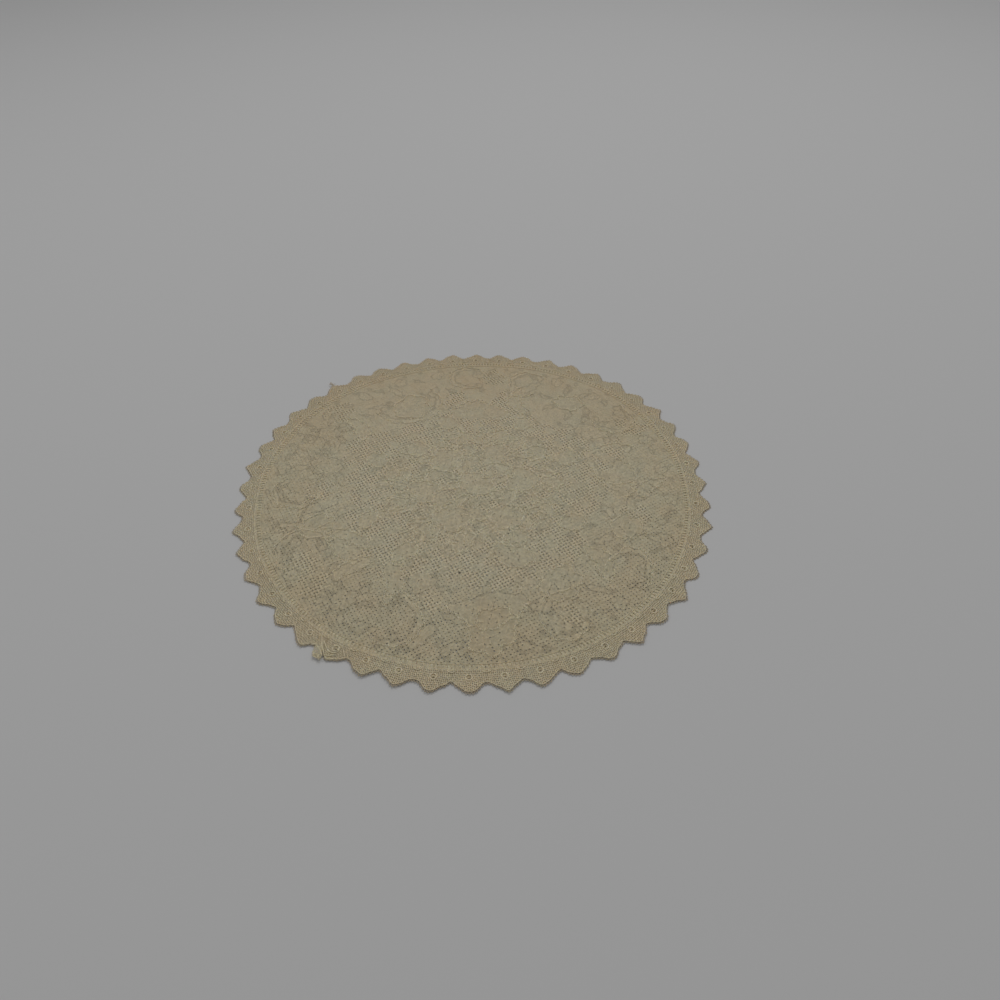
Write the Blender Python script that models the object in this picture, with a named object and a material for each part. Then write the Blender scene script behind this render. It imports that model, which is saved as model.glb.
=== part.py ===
"""A round lace doily: a flat panel of patterned net with a pointed lace edging sewn round it.

Metres, +Z up. The origin is the middle of the underside, which lies flat at Z = 0, and +X runs
through a tooth of the edging. Two pieces are cut and sewn: the round panel, and the edging strip,
whose straight heading meets the panel's rim and whose outer side is a ring of pointed teeth with one
eyelet each. The mesh, the flowers and the stitches are too fine for solids, so each piece is its
cloth's outline at an even thickness. Washing and wear have pulled the doily a little out of round.
"""

import math
import random

import bpy

# Driving dimensions
TIP_RADIUS = 0.1270  # 254 mm over opposite teeth
TOOTH_COUNT = 48
TOOTH_DEPTH = 0.0058  # from the tip circle to the notch circle
SEAM_RADIUS = 0.1153  # where the edging's heading meets the panel
EYELET_RADIUS = 0.00085
EYELET_SETBACK = 0.0080  # from the tip circle to the middle of an eyelet
CLOTH_THICKNESS = 0.0010
CLEARANCE = 0.0003  # between the two pieces

# The round is pulled out of true in slow waves: waves round the edge, height, and the angle of one crest
PULLS = (
    {"waves": 2, "height": 0.0009, "crest": math.radians(-4)},
    {"waves": 3, "height": 0.0010, "crest": math.radians(37)},
    {"waves": 4, "height": 0.0007, "crest": math.radians(46)},
)

# No two teeth are quite alike, and the one where the strip's ends are joined is short and blunt
TOOTH_SEED = 7
TIP_SCATTER = 0.0004
ANGLE_SCATTER = math.radians(0.5)
JOIN_TOOTH = 32
JOIN_TIP_LOSS = 0.0011

# Softening of the outline's corners
TIP_ROUNDING = 0.0006
JOIN_TIP_ROUNDING = 0.0020
NOTCH_ROUNDING = 0.0005

# Facets
SEAM_SIDES = 2 * TOOTH_COUNT
EYELET_SIDES = 8
ROUNDING_STEPS = 2

TOOTH_ANGLE = math.tau / TOOTH_COUNT
NOTCH_RADIUS = TIP_RADIUS - TOOTH_DEPTH
EYELET_CIRCLE_RADIUS = TIP_RADIUS - EYELET_SETBACK

# Cotton, which looks paler in the open net than in the close edging: colour, roughness
NET_COTTON = ((0.56, 0.47, 0.33, 1.0), 0.90)
EDGING_COTTON = ((0.53, 0.43, 0.29, 1.0), 0.88)


def clear_scene():
    """Removes every object that the file opened with."""
    for obj in list(bpy.data.objects):
        bpy.data.objects.remove(obj)


def add_collection(name):
    """A new collection under the scene's own."""
    collection = bpy.data.collections.new(name)
    bpy.context.scene.collection.children.link(collection)
    return collection


def cotton(name, finish):
    """A plain cotton material of one colour and roughness."""
    colour, roughness = finish
    material = bpy.data.materials.new(name)
    material.use_nodes = True
    shader = material.node_tree.nodes["Principled BSDF"]
    shader.inputs["Base Color"].default_value = colour
    shader.inputs["Roughness"].default_value = roughness
    shader.inputs["Metallic"].default_value = 0.0
    material.diffuse_color = colour
    return material


def pull_at(angle):
    """How far the edge is pulled outwards at this angle."""
    return sum(pull["height"] * math.cos(pull["waves"] * (angle - pull["crest"])) for pull in PULLS)


def lay(radius, angle):
    """The point where a true circle's point ends up once the cloth is pulled: less and less inwards."""
    pulled = radius * (1 + pull_at(angle) / TIP_RADIUS)
    return pulled * math.cos(angle), pulled * math.sin(angle)


def rounded_corner(before, corner, after, radius):
    """The points of an arc that rounds a corner, from the side that comes in to the side that leaves."""
    back = math.atan2(before[1] - corner[1], before[0] - corner[0])
    ahead = math.atan2(after[1] - corner[1], after[0] - corner[0])
    opening = math.remainder(ahead - back, math.tau)
    inwards = back + opening / 2
    reach = radius / math.sin(abs(opening) / 2)
    centre_x = corner[0] + reach * math.cos(inwards)
    centre_y = corner[1] + reach * math.sin(inwards)
    sweep = math.copysign(math.pi - abs(opening), -opening)
    points = []
    for step in range(ROUNDING_STEPS + 1):
        turn = inwards + math.pi + sweep * (step / ROUNDING_STEPS - 0.5)
        points.append((centre_x + radius * math.cos(turn), centre_y + radius * math.sin(turn)))
    return points


def tooth_corners():
    """The corner and rounding of each tip and notch in turn, counted from the tooth on +X."""
    scatter = random.Random(TOOTH_SEED)
    corners = []
    for tooth in range(TOOTH_COUNT):
        angle = tooth * TOOTH_ANGLE + scatter.uniform(-ANGLE_SCATTER, ANGLE_SCATTER)
        radius = TIP_RADIUS + scatter.uniform(-TIP_SCATTER, TIP_SCATTER)
        rounding = TIP_ROUNDING
        if tooth == JOIN_TOOTH:
            radius -= JOIN_TIP_LOSS
            rounding = JOIN_TIP_ROUNDING
        corners.append((lay(radius, angle), rounding))
        corners.append((lay(NOTCH_RADIUS, (tooth + 0.5) * TOOTH_ANGLE), NOTCH_ROUNDING))
    return corners


def toothed_outline():
    """The edging's outer side: straight-sided teeth with softened tips and notches."""
    corners = tooth_corners()
    points = []
    for index, (corner, rounding) in enumerate(corners):
        before = corners[index - 1][0]
        after = corners[(index + 1) % len(corners)][0]
        points.extend(rounded_corner(before, corner, after, rounding))
    return points


def seam_outline(offset):
    """The seam's ring, moved out by an offset."""
    return [lay(SEAM_RADIUS + offset, math.tau * side / SEAM_SIDES) for side in range(SEAM_SIDES)]


def eyelet_outline(tooth):
    """The round hole in one tooth."""
    middle_x, middle_y = lay(EYELET_CIRCLE_RADIUS, tooth * TOOTH_ANGLE)
    points = []
    for side in range(EYELET_SIDES):
        angle = math.tau * side / EYELET_SIDES
        points.append((middle_x + EYELET_RADIUS * math.cos(angle), middle_y + EYELET_RADIUS * math.sin(angle)))
    return points


def add_cloth(name, outlines, finish, collection):
    """One flat cloth from its outlines, lying on Z = 0. An outline inside another is a hole in it."""
    curve = bpy.data.curves.new(name, "CURVE")
    curve.dimensions = "2D"
    curve.fill_mode = "BOTH"
    curve.extrude = CLOTH_THICKNESS / 2
    for points in outlines:
        spline = curve.splines.new("POLY")
        spline.points.add(len(points) - 1)
        for point, (x, y) in zip(spline.points, points):
            point.co = (x, y, 0.0, 1.0)
        spline.use_cyclic_u = True
    curve.materials.append(cotton(name + "_cotton", finish))
    cloth = bpy.data.objects.new(name, curve)
    cloth.location.z = CLOTH_THICKNESS / 2
    collection.objects.link(cloth)
    return cloth


def make_net_panel(collection):
    """The round panel of patterned net, cut to meet the edging's heading."""
    return add_cloth("net_panel", [seam_outline(-CLEARANCE / 2)], NET_COTTON, collection)


def make_pointed_edging(collection):
    """The edging: pointed teeth outside, the straight heading inside, and an eyelet in each tooth."""
    outlines = [toothed_outline(), seam_outline(CLEARANCE / 2)]
    outlines.extend(eyelet_outline(tooth) for tooth in range(TOOTH_COUNT))
    return add_cloth("pointed_edging", outlines, EDGING_COTTON, collection)


def main():
    """Builds the doily's two pieces in a collection of their own."""
    clear_scene()
    doily = add_collection("lace_doily")
    make_net_panel(doily)
    make_pointed_edging(doily)


main()
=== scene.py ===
"""The looks of a round lace doily: net ground, flowered cloth, pointed edging and its stitching.

Metres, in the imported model's frame: +Z up, the doily lies flat on Z = 0 and +X runs through a tooth.
The net and the edging are made of threads, woven straight and then eased round and laid down, as the
real ones are. Pattern figures are sized in millimetres and degrees.
"""

import logging
import math
import random
from contextlib import contextmanager
from dataclasses import dataclass
from enum import Enum
from typing import Callable, Iterator, Sequence

import bpy
import numpy as np
from bpy.types import Material, Node, NodeInputs, NodeOutputs, NodeSocket, NodeTree, Object
from mathutils import Matrix, Vector


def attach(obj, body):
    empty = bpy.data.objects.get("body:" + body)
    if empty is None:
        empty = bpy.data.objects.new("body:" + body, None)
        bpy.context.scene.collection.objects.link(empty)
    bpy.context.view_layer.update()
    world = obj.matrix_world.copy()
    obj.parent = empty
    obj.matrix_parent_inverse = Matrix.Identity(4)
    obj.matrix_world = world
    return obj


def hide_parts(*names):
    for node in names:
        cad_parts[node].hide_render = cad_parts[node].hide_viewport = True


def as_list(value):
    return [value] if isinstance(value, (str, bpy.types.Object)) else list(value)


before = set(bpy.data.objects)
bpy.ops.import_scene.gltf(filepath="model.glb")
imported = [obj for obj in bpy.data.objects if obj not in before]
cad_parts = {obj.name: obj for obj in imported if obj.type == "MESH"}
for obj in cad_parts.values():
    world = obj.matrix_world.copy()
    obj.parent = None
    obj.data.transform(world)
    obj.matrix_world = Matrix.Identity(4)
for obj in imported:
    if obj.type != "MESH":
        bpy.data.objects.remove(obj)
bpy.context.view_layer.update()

Array = np.ndarray

log = logging.getLogger("doily")

MM = 0.001
BODY = "root"
ALONG = "along"
DRAWN = "drawn"
BAKE_MAP = "OFBake"


class Part(Enum):
    """The doily's two cloths: the solid that a piece stands for, and its material slot in the record."""

    NET = ("net_panel", "net_cotton")
    EDGING = ("pointed_edging", "edging_cotton")


# ---- Work on one mesh ----


def take(obj: Object) -> None:
    """Selects one object and makes it the active one."""
    bpy.ops.object.select_all(action="DESELECT")
    obj.select_set(True)
    bpy.context.view_layer.objects.active = obj


def named(obj: Object, name: str) -> Object:
    """Names an object and its mesh, and returns it."""
    obj.name = name
    obj.data.name = name
    return obj


def fresh(add: Callable[..., object], **settings: object) -> Object:
    """Adds a primitive with its operator, selected on its own, and returns it."""
    bpy.ops.object.select_all(action="DESELECT")
    add(**settings)
    return bpy.context.view_layer.objects.active


@contextmanager
def editing(obj: Object, faces: Array | None = None) -> Iterator[None]:
    """Opens a mesh in edit mode for the length of a with block.

    Args:
        obj: The mesh.
        faces: A mask of the faces to select, or None for all of them.

    Yields:
        None, once the faces are selected.
    """
    take(obj)
    bpy.context.tool_settings.mesh_select_mode = (False, False, True)
    if faces is not None:
        obj.data.polygons.foreach_set("select", faces)
    bpy.ops.object.mode_set(mode="EDIT")
    if faces is None:
        bpy.ops.mesh.select_all(action="SELECT")
    yield
    bpy.ops.object.mode_set(mode="OBJECT")


def rows(*columns: Array | float) -> Array:
    """Returns columns side by side as rows, a plain number being the same in every row."""
    return np.column_stack(np.broadcast_arrays(*columns))


def polar(radius: Array, angle: Array, *more: Array | float) -> Array:
    """Returns rows of X and Y from radii and angles, with any more columns after them."""
    return rows(radius * np.cos(angle), radius * np.sin(angle), *more)


def vectors(items: bpy.types.bpy_prop_collection, name: str) -> Array:
    """Returns each item's vector of this name as an array of rows."""
    found = np.empty(len(items) * 3, np.float32)
    items.foreach_get(name, found)
    return found.reshape(-1, 3).astype(float)


def points_of(obj: Object) -> Array:
    """Returns a mesh's vertices as an array of rows."""
    return vectors(obj.data.vertices, "co")


def face_middles(obj: Object) -> Array:
    """Returns the middle of each face as an array of rows."""
    return vectors(obj.data.polygons, "center")


def move_points(obj: Object, points: Array) -> None:
    """Puts a mesh's vertices at new places."""
    obj.data.vertices.foreach_set("co", points.astype(np.float32).ravel())
    obj.data.update()


def set_value(obj: Object, name: str, values: Array) -> None:
    """Writes a number for each vertex, for the materials to read."""
    layer = obj.data.attributes.get(name) or obj.data.attributes.new(name, "FLOAT", "POINT")
    layer.data.foreach_set("value", values.astype(np.float32))


def apply_modifier(obj: Object, kind: str, **settings: object) -> None:
    """Adds a modifier and applies it.

    Args:
        obj: The mesh that takes it.
        kind: The modifier's type, such as ARRAY.
        settings: The modifier's own settings by name.
    """
    take(obj)
    modifier = obj.modifiers.new(kind.title(), kind)
    for name, value in settings.items():
        setattr(modifier, name, value)
    bpy.ops.object.modifier_apply(modifier=modifier.name)


def repeat(obj: Object, step: Sequence[float], count: int) -> None:
    """Copies a mesh in a row, and joins each copy to the last where their vertices meet.

    Args:
        obj: The mesh.
        step: The way from one copy to the next, in X, Y and Z.
        count: How many there are in all.
    """
    apply_modifier(
        obj,
        "ARRAY",
        count=count,
        use_relative_offset=False,
        use_constant_offset=True,
        constant_offset_displace=step,
        use_merge_vertices=True,
        merge_threshold=0.01 * MM,
    )


def cut_away(obj: Object, unwanted: Array) -> None:
    """Deletes the faces that a mask marks."""
    with editing(obj, unwanted):
        bpy.ops.mesh.delete(type="FACE")


def split_off(obj: Object, wanted: Array, name: str) -> Object:
    """Moves the faces that a mask marks into an object of their own, and returns it."""
    with editing(obj, wanted):
        bpy.ops.mesh.separate(type="SELECTED")
    return named(next(other for other in bpy.context.selected_objects if other != obj), name)


def close_ends(obj: Object, sides: int) -> None:
    """Fills the open ends of cut threads, with up to so many sides, or with any number for 0."""
    with editing(obj):
        bpy.ops.mesh.fill_holes(sides=sides)


def join(name: str, objects: Sequence[Object]) -> Object:
    """Joins meshes into one object.

    Args:
        name: Its name.
        objects: The meshes, two or more.

    Returns:
        The object.
    """
    take(objects[0])
    for obj in objects:
        obj.select_set(True)
    bpy.ops.object.join()
    return named(bpy.context.view_layer.objects.active, name)


def corded(name: str, route: Array, radius: float, sides: int, closed: bool = False) -> Object:
    """Makes a round cord along a route, with its length written on it.

    Args:
        name: The new object's name.
        route: The points of its middle line, as rows.
        radius: The cord's radius.
        sides: The number of sides of its section, 4 or 6.
        closed: Whether the route runs round to its start. If it doesn't, the ends are filled.

    Returns:
        The cord as a mesh object.
    """
    curve = bpy.data.curves.new(name, "CURVE")
    curve.dimensions = "3D"
    curve.bevel_depth = radius
    curve.bevel_resolution = (sides - 4) // 2
    curve.use_fill_caps = not closed
    spline = curve.splines.new("POLY")
    spline.points.add(len(route) - 1)
    spline.points.foreach_set("co", np.column_stack([route, np.ones(len(route))]).ravel())
    spline.use_cyclic_u = closed
    obj = bpy.data.objects.new(name, curve)
    bpy.context.scene.collection.objects.link(obj)
    take(obj)
    bpy.ops.object.convert(target="MESH")
    made = bpy.context.view_layer.objects.active
    gaps = np.linalg.norm(np.diff(route, axis=0), axis=1)
    run = np.concatenate([[0.0], np.cumsum(gaps)])
    nearest = np.repeat(np.arange(len(route)), sides)
    count = len(made.data.vertices)
    lengths = run[nearest[:count]] if count <= len(nearest) else np.resize(run[nearest], count)
    set_value(made, ALONG, lengths)
    return made


def add_bake_map(obj: Object) -> None:
    """Lays the piece's texture map flat over it as seen from above, filling the map but for its margin."""
    margin = 0.01
    points = points_of(obj)[:, :2]
    low, high = points.min(0), points.max(0)
    flat = (points - low) / np.maximum(high - low, 1e-9) * (1 - 2 * margin) + margin
    corners = np.empty(len(obj.data.loops), np.int32)
    obj.data.loops.foreach_get("vertex_index", corners)
    while obj.data.uv_layers:
        obj.data.uv_layers.remove(obj.data.uv_layers[0])
    layer = obj.data.uv_layers.new(name=BAKE_MAP)
    layer.uv.foreach_set("vector", flat[corners].astype(np.float32).ravel())


# ---- The plan that every piece shares ----


@dataclass(frozen=True)
class Wave:
    """A straight wave over the cloth: its length, direction in degrees, phase and size."""

    length: float
    direction: float
    phase: float
    size: float

    def run(self, x: Array, y: Array) -> Array:
        """Returns the wave at each point, from -1 to 1."""
        turn = math.radians(self.direction)
        return np.sin(math.tau * (x * math.cos(turn) + y * math.sin(turn)) / self.length + self.phase)

    def push(self, x: Array, y: Array) -> tuple[Array, Array]:
        """Returns the step in X and Y at each point, square to the wave's direction."""
        turn = math.radians(self.direction)
        wave = self.size * self.run(x, y)
        return -math.sin(turn) * wave, math.cos(turn) * wave


@dataclass(frozen=True)
class Sway:
    """A small push to and fro: its size, and the lengths across and along, in mm, and phase for X and Y."""

    size: float
    for_x: tuple[float, float, float]
    for_y: tuple[float, float, float]

    def steps(self, x: Array, y: Array) -> tuple[Array, Array]:
        """Returns the step in X and Y at each point."""
        (x_across, x_along, x_phase), (y_across, y_along, y_phase) = self.for_x, self.for_y
        step_x = np.sin(math.tau * (y / x_across + x / x_along) / MM + x_phase)
        step_y = np.sin(math.tau * (x / y_across + y / y_along) / MM + y_phase)
        return self.size * step_x, self.size * step_y


@dataclass(frozen=True)
class Pull:
    """A slow wave that washing and wear have pulled into the round."""

    waves: int
    height: float
    crest: float


@dataclass(frozen=True)
class Swell:
    """A stretch of the rim that doesn't lie quite down on the table: its angle, width and height."""

    angle: float
    width: float
    height: float


@dataclass(frozen=True)
class Plan:
    """The doily's layout, the same as the solids', and the way in which its cloth is laid."""

    tip_radius: float = 0.1270
    tooth_count: int = 48
    tooth_depth: float = 0.0058
    eyelet_setback: float = 0.0080
    pulls: tuple[Pull, ...] = (
        Pull(2, 0.0009, math.radians(-4)),
        Pull(3, 0.0010, math.radians(37)),
        Pull(4, 0.0007, math.radians(46)),
    )
    tooth_seed: int = 7
    tip_scatter: float = 0.0004
    angle_scatter: float = math.radians(0.5)
    join_tooth: int = 32
    join_tip_loss: float = 0.0011
    ripples: tuple[Wave, ...] = (
        Wave(0.062, 12, 0.4, 0.10 * MM),
        Wave(0.043, 75, 2.1, 0.08 * MM),
        Wave(0.029, 141, 4.0, 0.05 * MM),
    )
    swells: tuple[Swell, ...] = (
        Swell(-112, 18, 0.70 * MM),
        Swell(-82, 12, 0.50 * MM),
        Swell(-52, 14, 0.50 * MM),
        Swell(-160, 14, 0.30 * MM),
        Swell(24, 12, 0.20 * MM),
        Swell(134, 9, 0.40 * MM),
    )
    swell_start: float = 0.104
    sway: Sway = Sway(0.22 * MM, (47.0, 171.0, 0.9), (53.0, -149.0, 2.3))
    worn_depth: float = 4.6 * MM
    drift: float = 0.5 * MM
    drift_way: float = math.radians(-75)
    drawn_in: float = 0.1 * MM
    drift_start: float = 116.6 * MM
    drift_width: float = 5.0 * MM
    unevenness: tuple[Pull, ...] = (Pull(113, 0.20 * MM, 0.4), Pull(171, 0.16 * MM, 2.0))

    @property
    def tooth_angle(self) -> float:
        """The angle from one tooth to the next."""
        return math.tau / self.tooth_count

    @property
    def notch_radius(self) -> float:
        """The radius of the notches between teeth."""
        return self.tip_radius - self.tooth_depth

    @property
    def eyelet_radius(self) -> float:
        """The radius of the circle that the eyelets stand on."""
        return self.tip_radius - self.eyelet_setback

    def pull_at(self, angle: Array) -> Array:
        """Returns how far the edge is pulled outwards at each angle."""
        return sum(pull.height * np.cos(pull.waves * (angle - pull.crest)) for pull in self.pulls)

    def lift_at(self, x: Array, y: Array) -> Array:
        """Finds how far the cloth rises off the table.

        Args:
            x: Places on the true plan.
            y: Places on the true plan.

        Returns:
            The rise at each place.
        """
        lift = sum(ripple.size * (0.5 + 0.5 * ripple.run(x, y)) for ripple in self.ripples)
        degrees = np.degrees(np.arctan2(y, x))
        past = np.hypot(x, y) - self.swell_start
        outwards = np.clip(past / (self.tip_radius - self.swell_start), 0, 1.1)
        for swell in self.swells:
            away = (degrees - swell.angle + 180) % 360 - 180
            lift = lift + swell.height * outwards**2 * np.exp(-((away / swell.width) ** 2))
        return lift

    def laid(self, points: Array) -> Array:
        """Lays points of the true flat doily down as the worn cloth lies.

        Args:
            points: Rows of X, Y and Z on the true plan.

        Returns:
            The same rows, pulled out of round, swayed a little and lifted.
        """
        x, y, z = points.T
        growth = 1 + self.pull_at(np.arctan2(y, x)) / self.tip_radius
        sway_x, sway_y = self.sway.steps(x, y)
        return rows(x * growth + sway_x, y * growth + sway_y, z + self.lift_at(x, y))

    def tooth_scatter(self) -> Array:
        """Returns two rows: each tooth's turn off its place, and its tip's distance off the tip circle."""
        scatter = random.Random(self.tooth_seed)
        limits = (self.angle_scatter, self.tip_scatter)
        found = [[scatter.uniform(-limit, limit) for limit in limits] for _ in range(self.tooth_count)]
        return np.array(found).T

    def eased(self, strip: Array) -> Array:
        """Eases a straight strip round the panel.

        Args:
            strip: Rows of the place along the strip, the radius that it comes to, and the height.
                A tooth is one tooth angle times the eyelets' radius long.

        Returns:
            Rows of X, Y and Z on the true plan, with each tooth off its place by its own scatter, and
            the rim uneven and drawn a little to one side.
        """
        angle = strip[:, 0] / self.eyelet_radius
        radius = strip[:, 1]
        tooth = np.rint(angle / self.tooth_angle).astype(int) % self.tooth_count
        turns, reaches = self.tooth_scatter()
        out = np.clip((radius - self.notch_radius) / self.tooth_depth, 0, None)
        angle = angle + turns[tooth] * out
        radius = radius + reaches[tooth] * out - self.join_tip_loss * (tooth == self.join_tooth) * out**3
        rim = np.clip((strip[:, 1] - self.drift_start) / self.drift_width, 0, 1)
        uneven = sum(wave.height * np.sin(wave.waves * angle + wave.crest) for wave in self.unevenness)
        radius = radius + rim * (uneven + self.drift * np.cos(angle - self.drift_way) - self.drawn_in)
        return polar(radius, angle, strip[:, 2])


PLAN = Plan()


# ---- Finishes ----


@dataclass(frozen=True)
class Stain:
    """A soft mark on the cloth: its middle, its radius, and how much of it shows."""

    x: float
    y: float
    radius: float
    strength: float


STAINS = (
    Stain(0.000, 0.100, 0.030, 0.50),
    Stain(-0.092, 0.040, 0.022, 0.35),
    Stain(0.086, 0.050, 0.020, 0.35),
    Stain(0.012, -0.095, 0.026, 0.45),
    Stain(-0.070, -0.066, 0.020, 0.30),
)
SPECK = Stain(-0.0058, -0.0606, 0.0009, 0.95)
SPECK_COLOUR = (0.03, 0.026, 0.02, 1.0)


@dataclass(frozen=True)
class Fade:
    """A smooth rise of some measure: where it starts, where it is complete, and what it comes to."""

    start: float
    end: float
    strength: float


RIM_BROWNING = Fade(0.045, 0.122, 0.62)
NEAR_BROWNING = Fade(0.02, -0.11, 0.16)
BROAD_BROWNING = Fade(0.35, 0.70, 0.30)
FAR_SIDE = (0.0, 0.10)
FAR_TINT = (0.985, 0.952, 0.938, 1.0)
PATCH_TINTS = ((1.01, 0.985, 0.95, 1.0), (0.985, 1.0, 0.985, 1.0))


class Nodes:
    """Adds and joins the nodes of one tree."""

    def __init__(self, tree: NodeTree) -> None:
        """Starts on a tree."""
        self.tree = tree

    def feed(self, socket: NodeSocket, value: object) -> None:
        """Joins a socket to another one, or gives it a plain value."""
        if isinstance(value, NodeSocket):
            self.tree.links.new(value, socket)
        else:
            socket.default_value = value

    def add(self, kind: str, *values: object, **settings: object) -> Node:
        """Adds a node.

        Args:
            kind: The shader node's type, such as Math.
            values: A plain value or a socket for each of its first inputs.
            settings: The node's own settings by name.

        Returns:
            The node.
        """
        node = self.tree.nodes.new("ShaderNode" + kind)
        for name, value in settings.items():
            setattr(node, name, value)
        for socket, value in zip(node.inputs, values):
            self.feed(socket, value)
        return node

    def put(self, node: Node, **values: object) -> NodeOutputs:
        """Feeds a node's inputs, named as on it with spaces as underscores, and returns its outputs."""
        for name, value in values.items():
            self.feed(node.inputs[name.replace("_", " ")], value)
        return node.outputs

    def effect(self, group: NodeTree, **values: object) -> NodeOutputs:
        """Places a node group with these inputs and returns its outputs."""
        return self.put(self.add("Group", node_tree=group), **values)

    def math(self, operation: str, *values: object) -> NodeSocket:
        """Adds a math node on these values and returns its result."""
        return self.add("Math", *values, operation=operation).outputs[0]

    def mix(self, blend: str, factor: object, first: object, second: object) -> NodeSocket:
        """Adds a colour mix and returns its result."""
        node = self.add("Mix", factor, data_type="RGBA", blend_type=blend)
        self.feed(node.inputs[6], first)
        self.feed(node.inputs[7], second)
        return node.outputs[2]

    def noise(self, vector: NodeSocket, scale: float, detail: float) -> NodeSocket:
        """Adds a noise of so many cells to the metre and returns its value."""
        node = self.add("TexNoise")
        return self.put(node, Vector=vector, Scale=scale, Detail=detail, Roughness=0.55)["Fac"]

    def ramp(self, value: NodeSocket, low: float, high: float) -> NodeSocket:
        """Maps a range smoothly to 0 to 1 and returns it."""
        return self.add("MapRange", value, low, high, interpolation_type="SMOOTHSTEP").outputs[0]

    def fade(self, value: NodeSocket, fade: Fade) -> NodeSocket:
        """Returns how far a value has come along a fade, times its strength."""
        return self.math("MULTIPLY", self.ramp(value, fade.start, fade.end), fade.strength)

    def scale(self, vector: NodeSocket, factor: NodeSocket) -> NodeSocket:
        """Multiplies a vector or colour by a number and returns it."""
        return self.put(self.add("VectorMath", vector, operation="SCALE"), Scale=factor)[0]

    def grain(self, given: NodeOutputs, cycle: float) -> list[NodeSocket]:
        """Measures a place along and across the cloth's grain.

        Args:
            given: A group's inputs, with its Vector, Turn and Pitch.
            cycle: The angle that one pitch comes to.

        Returns:
            The two angles.
        """
        rotate = self.add("VectorRotate", given["Vector"], rotation_type="Z_AXIS")
        split = self.add("SeparateXYZ", self.put(rotate, Angle=given["Turn"])[0]).outputs
        step = self.math("DIVIDE", cycle, given["Pitch"])
        return [self.math("MULTIPLY", split[axis], step) for axis in (0, 1)]

    def relief(
        self, height: NodeSocket, relief: NodeSocket, depth: float
    ) -> NodeSocket:
        """Returns a height with a relief of this depth added."""
        return self.math("ADD", height, self.math("MULTIPLY", relief, depth))

    def sink(
        self, colour: NodeSocket, mask: NodeSocket, amount: float
    ) -> NodeSocket:
        """Returns a colour darkened by this amount, or lightened by less than nothing, where a mask is 1."""
        return self.scale(colour, self.math("SUBTRACT", 1.0, self.math("MULTIPLY", mask, amount)))

    def stain(self, flat: NodeSocket, stain: Stain) -> NodeSocket:
        """Returns how much a stain shows at each point, softly out to its radius."""
        away = self.add("VectorMath", flat, (stain.x, stain.y, 0.0), operation="DISTANCE").outputs["Value"]
        return self.math("MULTIPLY", self.ramp(away, stain.radius, stain.radius * 0.25), stain.strength)


def new_group(
    name: str, inputs: dict[str, str], outputs: dict[str, str]
) -> tuple[Nodes, NodeOutputs, NodeInputs]:
    """Starts a node group with named sockets.

    Args:
        name: The group's name.
        inputs: The kind of each input by its name, such as Float.
        outputs: The kind of each output by its name.

    Returns:
        The tree's builder, the group's inputs to read, and its outputs to feed.
    """
    tree = bpy.data.node_groups.new(name, "ShaderNodeTree")
    for way, sockets in (("INPUT", inputs), ("OUTPUT", outputs)):
        for label, kind in sockets.items():
            tree.interface.new_socket(label, in_out=way, socket_type="NodeSocket" + kind)
    return Nodes(tree), tree.nodes.new("NodeGroupInput").outputs, tree.nodes.new("NodeGroupOutput").inputs


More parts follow.
